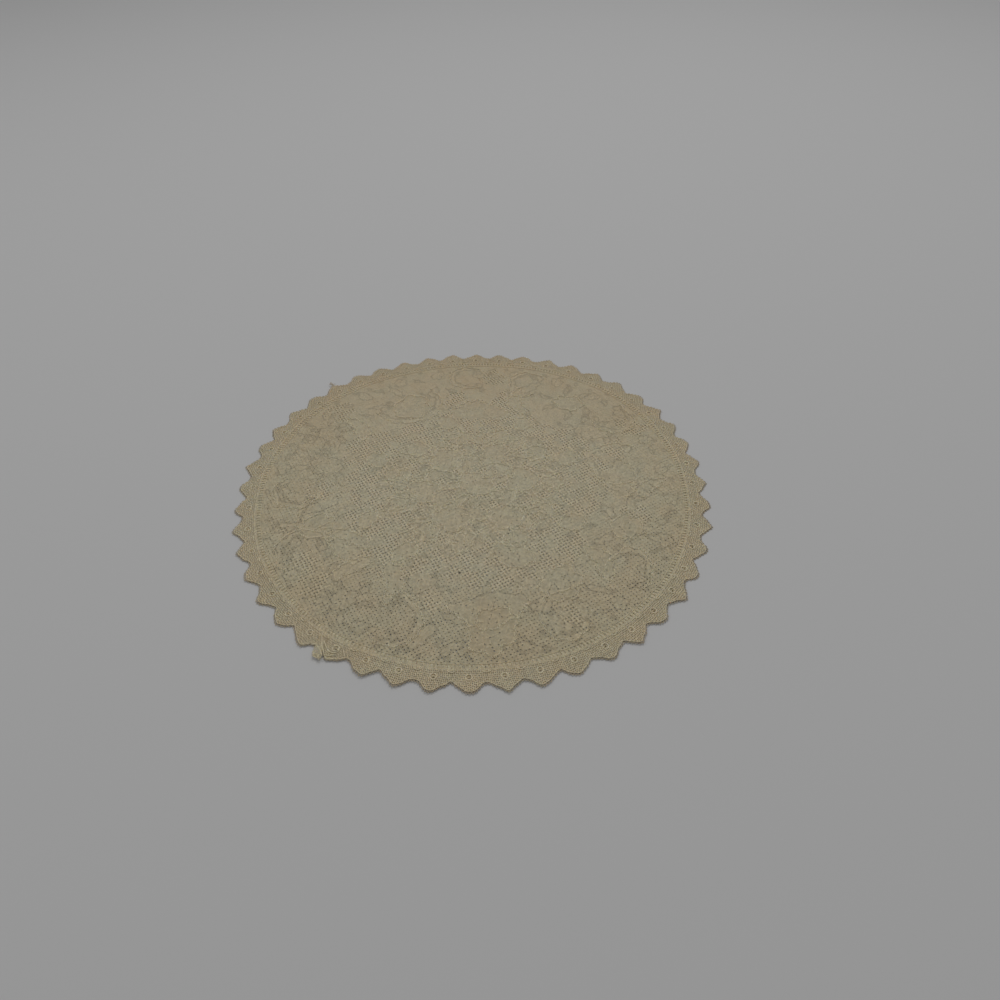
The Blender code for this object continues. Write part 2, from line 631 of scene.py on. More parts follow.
class SharedEffects:
    """The node groups that the doily's materials share."""

    def __init__(self) -> None:
        """Builds each group once."""
        self.ageing = self.build_ageing()
        self.wraps = self.build_wraps()
        self.close_weave = self.build_close_weave()
        self.fluff = self.build_fluff()
        self.drawn_lines = self.build_drawn_lines()

    @staticmethod
    def build_ageing() -> NodeTree:
        """Builds the group that browns a cotton with age: rim, mottling, stains and one dark speck.

        Returns:
            The group, which puts out a colour.
        """
        inputs = {"Vector": "Vector", "Clean": "Color", "Browned": "Color"}
        nodes, given, result = new_group("aged_cotton", inputs, {"Color": "Color"})
        vector = given["Vector"]
        across, out, _ = nodes.add("SeparateXYZ", vector).outputs
        flat = nodes.add("CombineXYZ", across, out).outputs[0]
        radius = nodes.add("VectorMath", flat, operation="LENGTH").outputs["Value"]
        far_side = nodes.ramp(out, *FAR_SIDE)

        rim = nodes.fade(radius, RIM_BROWNING)
        near_side = nodes.fade(out, NEAR_BROWNING)
        broad = nodes.fade(nodes.noise(vector, scale=26.0, detail=3.0), BROAD_BROWNING)
        amount = nodes.math("ADD", nodes.math("ADD", rim, near_side), broad)
        for stain in STAINS:
            amount = nodes.math("ADD", amount, nodes.stain(flat, stain))
        browned = nodes.mix("MIX", nodes.math("MINIMUM", amount, 1.0), given["Clean"], given["Browned"])

        reddened = nodes.mix("MULTIPLY", far_side, browned, FAR_TINT)
        patchy = nodes.ramp(nodes.noise(vector, scale=60.0, detail=2.0), 0.38, 0.62)
        tone = nodes.mix("MIX", patchy, *PATCH_TINTS)
        toned = nodes.mix("MULTIPLY", 1.0, reddened, tone)

        fleck = nodes.ramp(nodes.noise(vector, scale=760.0, detail=4.0), 0.30, 0.72)
        mottle = nodes.ramp(nodes.noise(vector, scale=130.0, detail=2.0), 0.36, 0.64)
        depth = nodes.math("SUBTRACT", 0.26, nodes.math("MULTIPLY", far_side, 0.14))
        shade = nodes.math("ADD", nodes.math("MULTIPLY", nodes.math("SUBTRACT", fleck, 0.5), depth), 0.98)
        shaded = nodes.scale(toned, nodes.relief(shade, mottle, 0.04))
        nodes.feed(result["Color"], nodes.mix("MIX", nodes.stain(flat, SPECK), shaded, SPECK_COLOUR))
        return nodes.tree

    @staticmethod
    def build_wraps() -> NodeTree:
        """Builds the group that gives the ridges of a plied or wrapped thread along its length.

        Returns:
            The group, which puts out a height.
        """
        inputs = {"Along": "Float", "Pitch": "Float", "Vector": "Vector"}
        nodes, given, result = new_group("thread_wraps", inputs, {"Height": "Float"})
        slip = nodes.math("MULTIPLY", nodes.noise(given["Vector"], scale=900.0, detail=2.0), 2.2)
        turns = nodes.math("MULTIPLY", nodes.math("DIVIDE", given["Along"], given["Pitch"]), math.tau)
        wave = nodes.math("SINE", nodes.math("ADD", turns, slip))
        nodes.feed(result["Height"], nodes.math("ADD", nodes.math("MULTIPLY", wave, 0.5), 0.5))
        return nodes.tree

    @staticmethod
    def build_close_weave() -> NodeTree:
        """Builds the group that gives the over and under of close cloth stitch on the net's threads.

        Returns:
            The group, which puts out a height.
        """
        inputs = {"Vector": "Vector", "Pitch": "Float", "Turn": "Float"}
        nodes, given, result = new_group("close_weave", inputs, {"Height": "Float"})
        waves = nodes.grain(given, math.pi)
        ridges = [nodes.math("ABSOLUTE", nodes.math("SINE", wave)) for wave in waves]
        over = nodes.math("MULTIPLY", *[nodes.math("COSINE", wave) for wave in waves])
        blend = nodes.add("Mix", nodes.ramp(over, -0.35, 0.35), data_type="FLOAT")
        nodes.feed(blend.inputs[2], ridges[0])
        nodes.feed(blend.inputs[3], ridges[1])
        nodes.feed(result["Height"], blend.outputs[0])
        return nodes.tree

    @staticmethod
    def build_fluff() -> NodeTree:
        """Builds the group that gives the fine fuzz of washed cotton, and returns it."""
        nodes, given, result = new_group("cotton_fluff", {"Vector": "Vector"}, {"Height": "Float"})
        nodes.feed(result["Height"], nodes.noise(given["Vector"], scale=2600.0, detail=5.0))
        return nodes.tree

    @staticmethod
    def build_drawn_lines() -> NodeTree:
        """Builds the group that gives the masks of the pattern's drawn lines: painted shade along each line
        and in its pinholes, a painted highlight on the ridge of the thread just inside, and the figures'
        inside.

        Returns:
            The group, which puts out four masks.
        """
        inputs = {"Distance": "Float", "Vector": "Vector", "Pitch": "Float", "Turn": "Float"}
        outputs = dict.fromkeys(("Line", "PinholeDentsAndShade", "RidgeHighlight", "Figure"), "Float")
        nodes, given, result = new_group("drawn_lines", inputs, outputs)
        distance = given["Distance"]
        waves = [nodes.math("COSINE", wave) for wave in nodes.grain(given, math.tau)]
        dots = nodes.ramp(nodes.math("ADD", *waves), 0.0, 1.3)
        line = nodes.ramp(nodes.math("ABSOLUTE", distance), 0.66 * MM, 0.20 * MM)
        within = nodes.ramp(distance, 0.50 * MM, 0.75 * MM)
        short_of = nodes.ramp(distance, 1.4 * MM, 1.0 * MM)
        # Masks for painted shade along the drawn lines and in their pinholes, which are also dented, for a
        # painted highlight on the ridge just inside, and for the figures' inside.
        nodes.feed(result["Line"], line)
        nodes.feed(result["Figure"], nodes.ramp(distance, 0.0, 0.6 * MM))
        nodes.feed(result["PinholeDentsAndShade"], nodes.math("MULTIPLY", line, dots))
        nodes.feed(result["RidgeHighlight"], nodes.math("MULTIPLY", within, short_of))
        return nodes.tree


@dataclass(frozen=True)
class Cotton:
    """One finish of the doily's cotton, clean and browned, with the relief of wrapped thread or a weave,
    painted shade in that relief's hollows and painted highlight on its tops.
    """

    name: str
    clean: tuple[float, float, float]
    browned: tuple[float, float, float]
    wrap_pitch: float = 0.0
    wrap_depth: float = 0.0
    roughness: float = 0.88
    roughness_range: float = 0.12
    sheen: float = 0.15
    glow: float = 0.20
    glow_depth: float = 0.25 * MM
    weave_pitch: float = 0.0
    weave_depth: float = 0.0
    weave_turn: float = 0.0
    fluff_depth: float = 0.03 * MM
    line_depth: float = 0.0
    line_pitch: float = 0.88 * MM
    # Painted shade and highlight of the relief: the colour darkens where the wraps or weave lie below this
    # level and lightens above it, by this share.
    hollow_level: float = 0.7
    painted_relief_shading: float = 0.20
    # How much each drawn-lines mask darkens the colour: painted shade on the lines and pinholes, a painted
    # highlight (less than nothing) on the ridge inside them, and a darker tone in the figures.
    line_shades: tuple[tuple[str, float], ...] = (
        ("Line", 0.09),
        ("PinholeDentsAndShade", 0.16),
        ("RidgeHighlight", -0.12),
        ("Figure", 0.075),
    )

    def build(self, effects: SharedEffects) -> Material:
        """Builds the material.

        Args:
            effects: The node groups that it uses.

        Returns:
            The material, which reads Object coordinates and the threads' own length.
        """
        material = bpy.data.materials.new(self.name)
        material.use_nodes = True
        nodes = Nodes(material.node_tree)
        vector = nodes.add("TexCoord").outputs["Object"]
        clean, browned = (*self.clean, 1.0), (*self.browned, 1.0)
        colour = nodes.effect(effects.ageing, Vector=vector, Clean=clean, Browned=browned)["Color"]
        fluff = nodes.effect(effects.fluff, Vector=vector)["Height"]
        height = nodes.math("MULTIPLY", fluff, self.fluff_depth)
        reliefs = []
        if self.wrap_pitch:
            along = nodes.add("Attribute", attribute_name=ALONG).outputs["Fac"]
            wraps = nodes.effect(effects.wraps, Along=along, Pitch=self.wrap_pitch, Vector=vector)
            reliefs.append((wraps["Height"], self.wrap_depth))
        if self.weave_pitch:
            turn = -self.weave_turn
            weave = nodes.effect(effects.close_weave, Vector=vector, Pitch=self.weave_pitch, Turn=turn)
            reliefs.append((weave["Height"], self.weave_depth))
        for relief, depth in reliefs:
            height = nodes.relief(height, relief, depth)
            # Painted shade in the relief's hollows and painted highlight on its tops.
            colour = nodes.sink(colour, nodes.math("SUBTRACT", self.hollow_level, relief), self.painted_relief_shading)
        if self.line_depth:
            away = nodes.add("Attribute", attribute_name=DRAWN).outputs["Fac"]
            lines, pitch, turn = effects.drawn_lines, self.line_pitch, -self.weave_turn
            drawn = nodes.effect(lines, Distance=away, Vector=vector, Pitch=pitch, Turn=turn)
            height = nodes.relief(height, drawn["PinholeDentsAndShade"], -self.line_depth)
            # Painted shade on the drawn lines and pinholes, painted highlight on the ridge inside them, and
            # the figures' darker tone.
            for name, shade in self.line_shades:
                colour = nodes.sink(colour, drawn[name], shade)
        bump = nodes.put(nodes.add("Bump"), Strength=1.0, Distance=1.0, Height=height)
        patches = nodes.noise(vector, scale=240.0, detail=2.0)
        uneven = nodes.math("MULTIPLY", patches, self.roughness_range)
        nodes.put(
            material.node_tree.nodes["Principled BSDF"],
            Base_Color=colour,
            Roughness=nodes.math("ADD", uneven, self.roughness - self.roughness_range / 2),
            Normal=bump["Normal"],
            Subsurface_Weight=self.glow,
            Subsurface_Radius=(1.0, 0.8, 0.5),
            Subsurface_Scale=self.glow_depth,
            Sheen_Weight=self.sheen,
            Sheen_Roughness=0.5,
            Specular_IOR_Level=0.2,
        )
        return material


def dress(obj: Object, material: Material, part: Part, cut: bool = False) -> None:
    """Finishes a piece for the table and the render.

    Args:
        obj: The piece.
        material: Its material.
        part: The cloth that it belongs to.
        cut: Whether its edges are sharp, as cut cloth's are, and not round, as thread's are.
    """
    solid, slot = part.value
    obj.data.materials.clear()
    obj.data.materials.append(material)
    take(obj)
    if cut:
        bpy.ops.object.shade_smooth_by_angle(angle=math.radians(60))
    else:
        bpy.ops.object.shade_smooth()
    add_bake_map(obj)
    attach(obj, BODY)
    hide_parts(solid)
    log.info("%s: %d faces", obj.name, len(obj.data.polygons))


# ---- Woven threads ----


@dataclass(frozen=True)
class ThreadSet:
    """One of the two sets of threads in an open weave.

    The set runs along X. Its pitches are from crossing to crossing along a thread, and from thread to
    thread across. A thread is an oval tube, with 1 or 2 straight steps from crossing to crossing.
    """

    pitch_along: float
    pitch_across: float
    width: float
    thickness: float
    wave: float
    steps: int
    sides: int

    def weave(self, name: str, first: tuple[int, int], count: tuple[int, int], over: int) -> Object:
        """Weaves the set.

        Args:
            name: The new object's name.
            first: The number of the first crossing and of the first thread; those at the origin are 0.
            count: How many crossings and how many threads there are, both even.
            over: 1 if thread 0 passes over at crossing 0, or -1 if under.

        Returns:
            The threads as one mesh with open ends.
        """
        step = self.pitch_along / self.steps
        start = 0.0 if self.steps == 1 else -step / 2
        thread = fresh(
            bpy.ops.mesh.primitive_cylinder_add,
            vertices=self.sides,
            radius=self.width / 2,
            depth=step,
            end_fill_type="NOTHING",
            location=(start + step / 2, 0.0, 0.0),
            rotation=(0.0, math.pi / 2, 0.0),
        )
        bpy.ops.object.transform_apply(location=True, rotation=True, scale=True)
        with editing(thread):
            bpy.ops.transform.resize(value=(1.0, 1.0, self.thickness / self.width))
        repeat(thread, (step, 0.0, 0.0), 2 * self.steps)
        points = points_of(thread)
        way = over * (-1) ** (first[0] + first[1])
        height = self.wave * way / math.cos(math.pi * start / self.pitch_along)
        rise = rows(0.0, 0.0, height * np.cos(math.pi * points[:, 0] / self.pitch_along))
        move_points(thread, points + rise)
        take(thread)
        bpy.ops.object.duplicate()
        neighbour = bpy.context.view_layer.objects.active
        move_points(neighbour, points - rise + (0.0, self.pitch_across, 0.0))
        pair = join(name, [thread, neighbour])
        repeat(pair, (2 * self.pitch_along, 0.0, 0.0), count[0] // 2)
        repeat(pair, (0.0, 2 * self.pitch_across, 0.0), count[1] // 2)
        placed = points_of(pair) + (first[0] * self.pitch_along, first[1] * self.pitch_across, 0.0)
        move_points(pair, placed)
        set_value(pair, ALONG, placed[:, 0])
        return pair


def quarter_turn(points: Array) -> Array:
    """Returns points turned a quarter round Z, from along X to along Y."""
    return rows(-points[:, 1], points[:, 0], points[:, 2])


def turned(points: Array, angle: float) -> Array:
    """Returns points turned round Z."""
    cos, sin = math.cos(angle), math.sin(angle)
    x, y, z = points.T
    return rows(x * cos - y * sin, x * sin + y * cos, z)


# ---- The pattern of the panel, in millimetres and degrees ----

FAR = 99.0


@dataclass(frozen=True)
class Figure:
    """A figure of the pattern, placed by radius and angle on the panel, with its axis turned outwards."""

    radius: float
    angle: float
    size: float
    turn: float = 0.0
    corded: bool = False

    @property
    def axes(self) -> tuple[float, float, float, float]:
        """The X and Y of its middle or foot, and the cosine and sine of its axis."""
        place, axis = math.radians(self.angle), math.radians(self.angle + self.turn)
        return self.radius * math.cos(place), self.radius * math.sin(place), math.cos(axis), math.sin(axis)

    def local(self, x: Array, y: Array) -> tuple[Array, Array]:
        """Returns points of the panel as distances along and across the figure's own axis."""
        from_x, from_y, cos, sin = self.axes
        return (x - from_x) * cos + (y - from_y) * sin, (y - from_y) * cos - (x - from_x) * sin

    def placed(self, along: Array, across: Array) -> Array:
        """Returns points of the figure's own axes as rows of X and Y on the panel."""
        from_x, from_y, cos, sin = self.axes
        return rows(from_x + along * cos - across * sin, from_y + along * sin + across * cos)

    def body(self, along: Array, across: Array) -> Array:
        """Returns how far inside the figure's outline each point lies, negative outside."""
        raise NotImplementedError

    def lines(self, along: Array, across: Array) -> Array:
        """Returns how far each point lies from the lines of holes drawn in the figure."""
        return np.full(along.shape, FAR)

    def outline(self) -> Array:
        """Returns the route of the cord along the figure's edge, as rows of X and Y."""
        raise NotImplementedError


@dataclass(frozen=True)
class Flower(Figure):
    """An open flower with scalloped petals, a ring round its eye and holes between the petals."""

    petals: int = 6
    eye: float = 0.28
    vein_start: float = 0.48
    vein_end: float = 0.74
    least_veined: float = 9.0

    def edge(self, angle: Array) -> Array:
        """Returns the radius of the petals' edge at each angle."""
        frill = 0.05 * np.abs(np.cos(2.5 * self.petals * angle))
        return self.size * (0.72 + 0.24 * np.sqrt(np.abs(np.cos(self.petals * angle / 2))) + frill)

    def from_split(self, radius: Array, angle: Array) -> Array:
        """Returns each point's distance from the nearest line between petals."""
        sector = math.tau / self.petals
        return radius * np.abs(np.sin((angle % sector) - sector / 2))

    def body(self, along: Array, across: Array) -> Array:
        """Returns how far inside the petals' edge each point lies."""
        return self.edge(np.arctan2(across, along)) - np.hypot(along, across)

    def lines(self, along: Array, across: Array) -> Array:
        """Returns the distance from the eye's ring, the lines between petals and each petal's vein."""
        radius, angle = np.hypot(along, across), np.arctan2(across, along)
        eye = self.eye * self.size
        gap = np.where(radius > eye, self.from_split(radius, angle), FAR)
        vein = self.from_split(radius, angle + math.pi / self.petals)
        veined = (radius > self.vein_start * self.size) & (radius < self.vein_end * self.size)
        vein = np.where(veined & (self.size > self.least_veined), vein, FAR)
        return np.minimum(np.minimum(gap, np.abs(radius - eye)), vein)

    def outline(self) -> Array:
        """Returns the petals' edge as a closed route."""
        angle = np.linspace(0, math.tau, max(24, int(self.size * 7)), endpoint=False)
        return self.placed(*polar(self.edge(angle) + 0.2, angle).T)


@dataclass(frozen=True)
class Rose(Flower):
    """A full flower with a second, smaller row of petals inside the first."""

    inner: float = 0.60

    def lines(self, along: Array, across: Array) -> Array:
        """Returns the distance from the lines of both rows of petals."""
        radius, eye = np.hypot(along, across), self.eye * self.size
        angle = np.arctan2(across, along) + math.pi / self.petals
        scallop = self.inner * self.size * (0.84 + 0.16 * np.abs(np.cos(self.petals * angle / 2)))
        outer = np.where(radius > scallop, super().lines(along, across), FAR)
        split = np.where((radius > eye) & (radius < scallop), self.from_split(radius, angle), FAR)
        rings = np.minimum(np.abs(radius - scallop), np.abs(radius - eye))
        return np.minimum(np.minimum(outer, split), rings)


@dataclass(frozen=True)
class Leaf(Figure):
    """A pointed leaf with a vein down its middle, curved to one side. Size is its length."""

    width: float = 0.36
    curl: float = 0.0
    large: float = 15.0
    jags: float = 5.2
    jag_depth: float = 0.22
    large_jag_depth: float = 0.40

    def middle_line(self, share: Array) -> Array:
        """Returns how far the leaf's middle line lies off its axis at each share of its length."""
        return self.curl * self.size * share * (1 - share) * 2

    def bent(self, along: Array, across: Array) -> Array:
        """Returns the distance across from the leaf's curved middle line."""
        return across - self.middle_line(np.clip(along / self.size, -0.2, 1.2))

    def half_width(self, along: Array) -> Array:
        """Returns half the leaf's width at each distance along it."""
        share = np.clip(along / self.size, 0, 1)
        depth = self.large_jag_depth if self.size >= self.large else self.jag_depth
        jag = 1 - depth * (1 - np.abs(np.cos(math.pi * self.size * share / self.jags)))
        return self.width * self.size / 2 * np.sin(math.pi * share**0.8) ** 0.8 * jag

    def body(self, along: Array, across: Array) -> Array:
        """Returns how far inside the leaf's edge each point lies."""
        beyond = np.maximum(np.maximum(-along, along - self.size), 0)
        return self.half_width(along) - np.abs(self.bent(along, across)) - 1.5 * beyond

    def lines(self, along: Array, across: Array) -> Array:
        """Returns the distance from the middle vein, and from side veins on a large leaf."""
        middle = np.abs(self.bent(along, across))
        spine = np.where((along > 0.08 * self.size) & (along < 0.85 * self.size), middle, FAR)
        if self.size < self.large:
            return spine
        side = np.abs((along - 0.9 * middle) % self.jags - self.jags / 2)
        return np.minimum(spine, np.where(middle > 1.2, side, FAR))

    def outline(self) -> Array:
        """Returns the leaf's edge as a closed route."""
        share = 0.5 - 0.5 * np.cos(np.linspace(0, math.tau, max(16, int(self.size * 2)), endpoint=False))
        side = np.where(np.arange(len(share)) < len(share) / 2, 1.0, -1.0)
        along = share * self.size
        return self.placed(along, self.middle_line(share) + side * (self.half_width(along) + 0.15))


class Open:
    """Marks a figure whose cord runs along one side only."""


@dataclass(frozen=True)
class Scroll(Figure, Open):
    """A C-shaped scroll that swells in the middle and ends in two round knobs. Size is its radius."""

    opening: float = 110.0
    width: float = 3.6
    knob_reach: float = 0.86
    knob_share: float = 0.62

    def half_band(self, share: Array) -> Array:
        """Returns half the scroll's width at each share of the way from its middle to an end."""
        return self.width / 2 * (1.05 - 0.65 * share**2)

    def body(self, along: Array, across: Array) -> Array:
        """Returns how far inside the scroll's band and knobs each point lies."""
        angle = np.degrees(np.arctan2(across, along))
        half = 180 - self.opening / 2
        share = np.clip(np.abs(angle) / half, 0, 1)
        band = self.half_band(share) - np.abs(np.hypot(along, across) - self.size)
        band = np.where(np.abs(angle) <= half, band, -9.0)
        reach, knob = self.knob_reach * self.size, self.knob_share * self.width
        for end in (-math.radians(half), math.radians(half)):
            away = np.hypot(along - reach * math.cos(end), across - reach * math.sin(end))
            band = np.maximum(band, knob - away)
        return band

    def lines(self, along: Array, across: Array) -> Array:
        """Returns the distance from the line along the scroll's inner side."""
        return np.abs(np.hypot(along, across) - self.size + 0.2 * self.width)

    def outline(self) -> Array:
        """Returns the scroll's outer side as an open route."""
        half = math.radians(180 - self.opening / 2)
        angle = np.linspace(-half, half, max(16, int(self.size * 5)))
        return self.placed(*polar(self.size + self.half_band(np.abs(angle) / half) + 0.3, angle).T)


@dataclass(frozen=True)
class Shell(Figure, Open):
    """A fan of ribs that spreads from its foot to a scalloped edge. Size is its height."""

    spread: float = 62.0
    ribs: int = 7

    def edge(self, angle: Array) -> Array:
        """Returns the radius of the scalloped edge at each angle in degrees."""
        return self.size * (0.90 + 0.10 * np.abs(np.cos(math.pi * self.ribs * angle / (2 * self.spread))))

    def body(self, along: Array, across: Array) -> Array:
        """Returns how far inside the fan each point lies."""
        radius, angle = np.hypot(along, across), np.degrees(np.arctan2(across, along))
        sides = radius * np.sin(np.radians(np.clip(self.spread - np.abs(angle), -60, 60)))
        return np.minimum(self.edge(angle) - radius, sides)

    def lines(self, along: Array, across: Array) -> Array:
        """Returns the distance from the lines between the ribs and from one arc across them."""
        radius, angle = np.hypot(along, across), np.degrees(np.arctan2(across, along))
        step = 2 * self.spread / self.ribs
        between = (angle + self.spread) % step
        between = np.minimum(between, step - between)
        rays = np.where(radius > 0.3 * self.size, radius * np.radians(between), FAR)
        return np.minimum(rays, np.abs(radius - 0.62 * self.size))

    def outline(self) -> Array:
        """Returns the scalloped edge as an open route."""
        angle = np.linspace(-self.spread, self.spread, max(24, int(self.size * 5)))
        return self.placed(*polar(self.edge(angle) + 0.3, np.radians(angle)).T)


@dataclass(frozen=True)
class Spot(Figure):
    """A small round spot."""

    def body(self, along: Array, across: Array) -> Array:
        """Returns how far inside the spot each point lies."""
        return self.size - np.hypot(along, across)


def ring_of(
    make: Callable[..., Figure], count: int, radius: float, start: float, **sizes: float
) -> list[Figure]:
    """Draws one figure again and again in a ring round the middle, each a little off its place.

    Args:
        make: The figure's class.
        count: How many there are.
        radius: The ring's radius.
        start: The first one's angle.
        sizes: The figure's own sizes by name.

    Returns:
        The figures.
    """
    found = []
    for step in range(count):
        off = 1.1 * math.sin(2.4 * step + radius)
        found.append(make(radius + off, start + 360 * step / count + 60 * off / radius, **sizes))
    return found


def leaves_round(flower: Figure, count: int, size: float, start: float) -> list[Figure]:
    """Draws leaves that spread from behind a flower.

    Args:
        flower: The flower.
        count: How many leaves there are.
        size: Their length.
        start: The first one's direction off the flower's own.

    Returns:
        The leaves, curled to either side in turn.
    """
    found: list[Figure] = []
    from_x, from_y, _, _ = flower.axes
    for step in range(count):
        direction = math.radians(flower.angle + start + 360 * step / count)
        x = from_x + flower.size * math.cos(direction)
        y = from_y + flower.size * math.sin(direction)
        angle = math.degrees(math.atan2(y, x))
        curl = 0.25 if step % 2 else -0.25
        found.append(Leaf(math.hypot(x, y), angle, size, math.degrees(direction) - angle, curl=curl))
    return found


WOBBLES = (
    Wave(37.0, 20, 0.3, 1.30),
    Wave(29.0, 100, 1.9, 1.30),
    Wave(11.3, 62, 0.8, 0.55),
    Wave(9.7, 148, 2.6, 0.55),
    Wave(4.9, 8, 1.1, 0.38),
    Wave(4.3, 95, 0.2, 0.38),
)
PATCH_WAVES = (
    Wave(12.5, 15, 0.0, 1.0),
    Wave(9.2, 71, 1.3, 1.0),
    Wave(11.1, 127, 2.9, 1.0),
    Wave(7.4, 42, 4.4, 1.0),
    Wave(6.6, 101, 0.6, 1.0),
    Wave(8.1, 163, 3.7, 1.0),
)

# Windows of open net in the outer band: radius, angle, size
WINDOWS = (
    (100.0, -139, 9.0),
    (99.0, -62, 8.0),
    (88.0, -16, 8.0),
    (101.0, 27, 8.0),
    (84.0, 20, 8.0),
    (101.0, 84, 8.0),
    (78.0, 99, 7.0),
    (102.0, 142, 8.0),
    (80.0, 183, 9.0),
    (100.0, 213, 8.0),
    (84.0, -104, 7.0),
    (84.0, 75, 7.0),
)

# Flowers that stand alone: kind, radius, angle, size, petals, whether corded
ROUND_MIDDLE = (
    (Rose, 25.5, 8, 9.6, 5, True),
    (Rose, 27.0, 66, 8.6, 6, True),
    (Rose, 25.0, 128, 9.4, 5, True),
    (Rose, 28.0, 187, 8.8, 6, True),
    (Rose, 26.0, 247, 9.8, 5, True),
    (Rose, 28.0, 306, 9.0, 6, True),
)
IN_GARLAND = (
    (Flower, 57.0, 22, 6.4, 5, True),
    (Flower, 60.0, 62, 5.4, 5, True),
    (Flower, 58.0, 108, 6.2, 5, True),
    (Flower, 58.0, 160, 6.4, 6, True),
    (Flower, 59.0, 204, 5.6, 5, True),
    (Flower, 58.0, 236, 6.2, 5, True),
    (Rose, 53.0, 292, 9.4, 6, True),
    (Flower, 58.0, 332, 6.2, 6, True),
)
IN_BAND = (
    (Rose, 95.0, -84, 12.5, 7, True),
    (Rose, 80.0, -57, 10.5, 6, True),
    (Flower, 72.0, -110, 7.0, 6, False),
    (Flower, 87.0, -22, 8.5, 6, True),
    (Rose, 78.0, 119, 11.5, 6, True),
    (Rose, 84.0, 168, 8.5, 6, False),
    (Flower, 84.0, 201, 9.0, 7, True),
    (Flower, 90.0, 52, 8.0, 6, True),
    (Rose, 78.0, 34, 7.5, 5, False),
    (Flower, 96.0, 152, 6.5, 5, False),
    (Flower, 98.0, -128, 6.5, 6, False),
)

# The band's shells: radius, angle, height, turn, whether corded, spread, ribs
SHELLS = (
    (74.0, -84, 20.0, 0, True, 80.0, 9),
    (56.0, 88, 19.0, 0, True, 78.0, 9),
    (68.0, 4, 21.0, 0, True, 50.0, 7),
    (70.0, 214, 14.0, 8, True, 62.0, 7),
)

# The band's large leaves: radius, angle, length, turn, whether corded, width, curl
LEAVES = (
    (66.0, -128, 27.0, 38, True, 0.40, 0.20),
    (68.0, -134, 25.0, -4, True, 0.36, -0.2),
    (68.0, -141, 26.0, -62, True, 0.38, -0.2),
    (88.0, -6, 22.0, 36, True, 0.40, 0.2),
    (92.0, 4, 20.0, -62, False, 0.38, -0.2),
    (68.0, 66, 26.0, 24, True, 0.38, 0.2),
    (72.0, 150, 25.0, -30, True, 0.40, -0.2),
    (70.0, -38, 27.0, -26, True, 0.38, 0.22),
    (74.0, 184, 22.0, 40, False, 0.38, 0.2),
    (84.0, 76, 23.0, -50, False, 0.36, -0.2),
    (86.0, 188, 21.0, -44, False, 0.38, 0.2),
    (92.0, -100, 20.0, -40, False, 0.40, 0.2),
    (90.0, -70, 20.0, 48, False, 0.40, -0.2),
)

# The band's scrolls: radius, angle, size, turn, whether corded, opening, width
SCROLLS = (
    (95.0, -113, 13.0, 96, True, 110, 3.4),
    (96.0, -62, 12.0, -100, True, 110, 3.4),
    (82.0, 12, 15.0, 165, True, 110, 3.4),
    (99.0, 92, 10.5, 84, True, 110, 3.2),
    (82.0, 119, 17.0, 180, True, 150, 3.4),
    (94.0, 181, 12.0, 90, True, 110, 3.2),
    (97.0, -152, 12.0, -84, True, 110, 3.4),
    (97.0, -38, 11.0, 92, True, 110, 3.2),
    (98.0, 34, 11.0, -94, True, 110, 3.2),
    (96.0, 70, 11.0, 100, True, 110, 3.2),
    (84.0, -166, 10.0, 12, True, 130, 3.0),
)


def flowers_of(table: Sequence[tuple]) -> list[Figure]:
    """Returns the flowers of a table."""
    return [kind(*place, 0, corded, petals) for kind, *place, petals, corded in table]


@dataclass(frozen=True)
class Reading:
    """What the chart says at each of a set of points.

    How far inside cloth the point lies, negative on open net; how far it lies from the nearest drawn
    line, negative outside every figure; and whether holes of the net stay open in the cloth there.
    """

    cloth: Array
    drawn: Array
    holed: Array


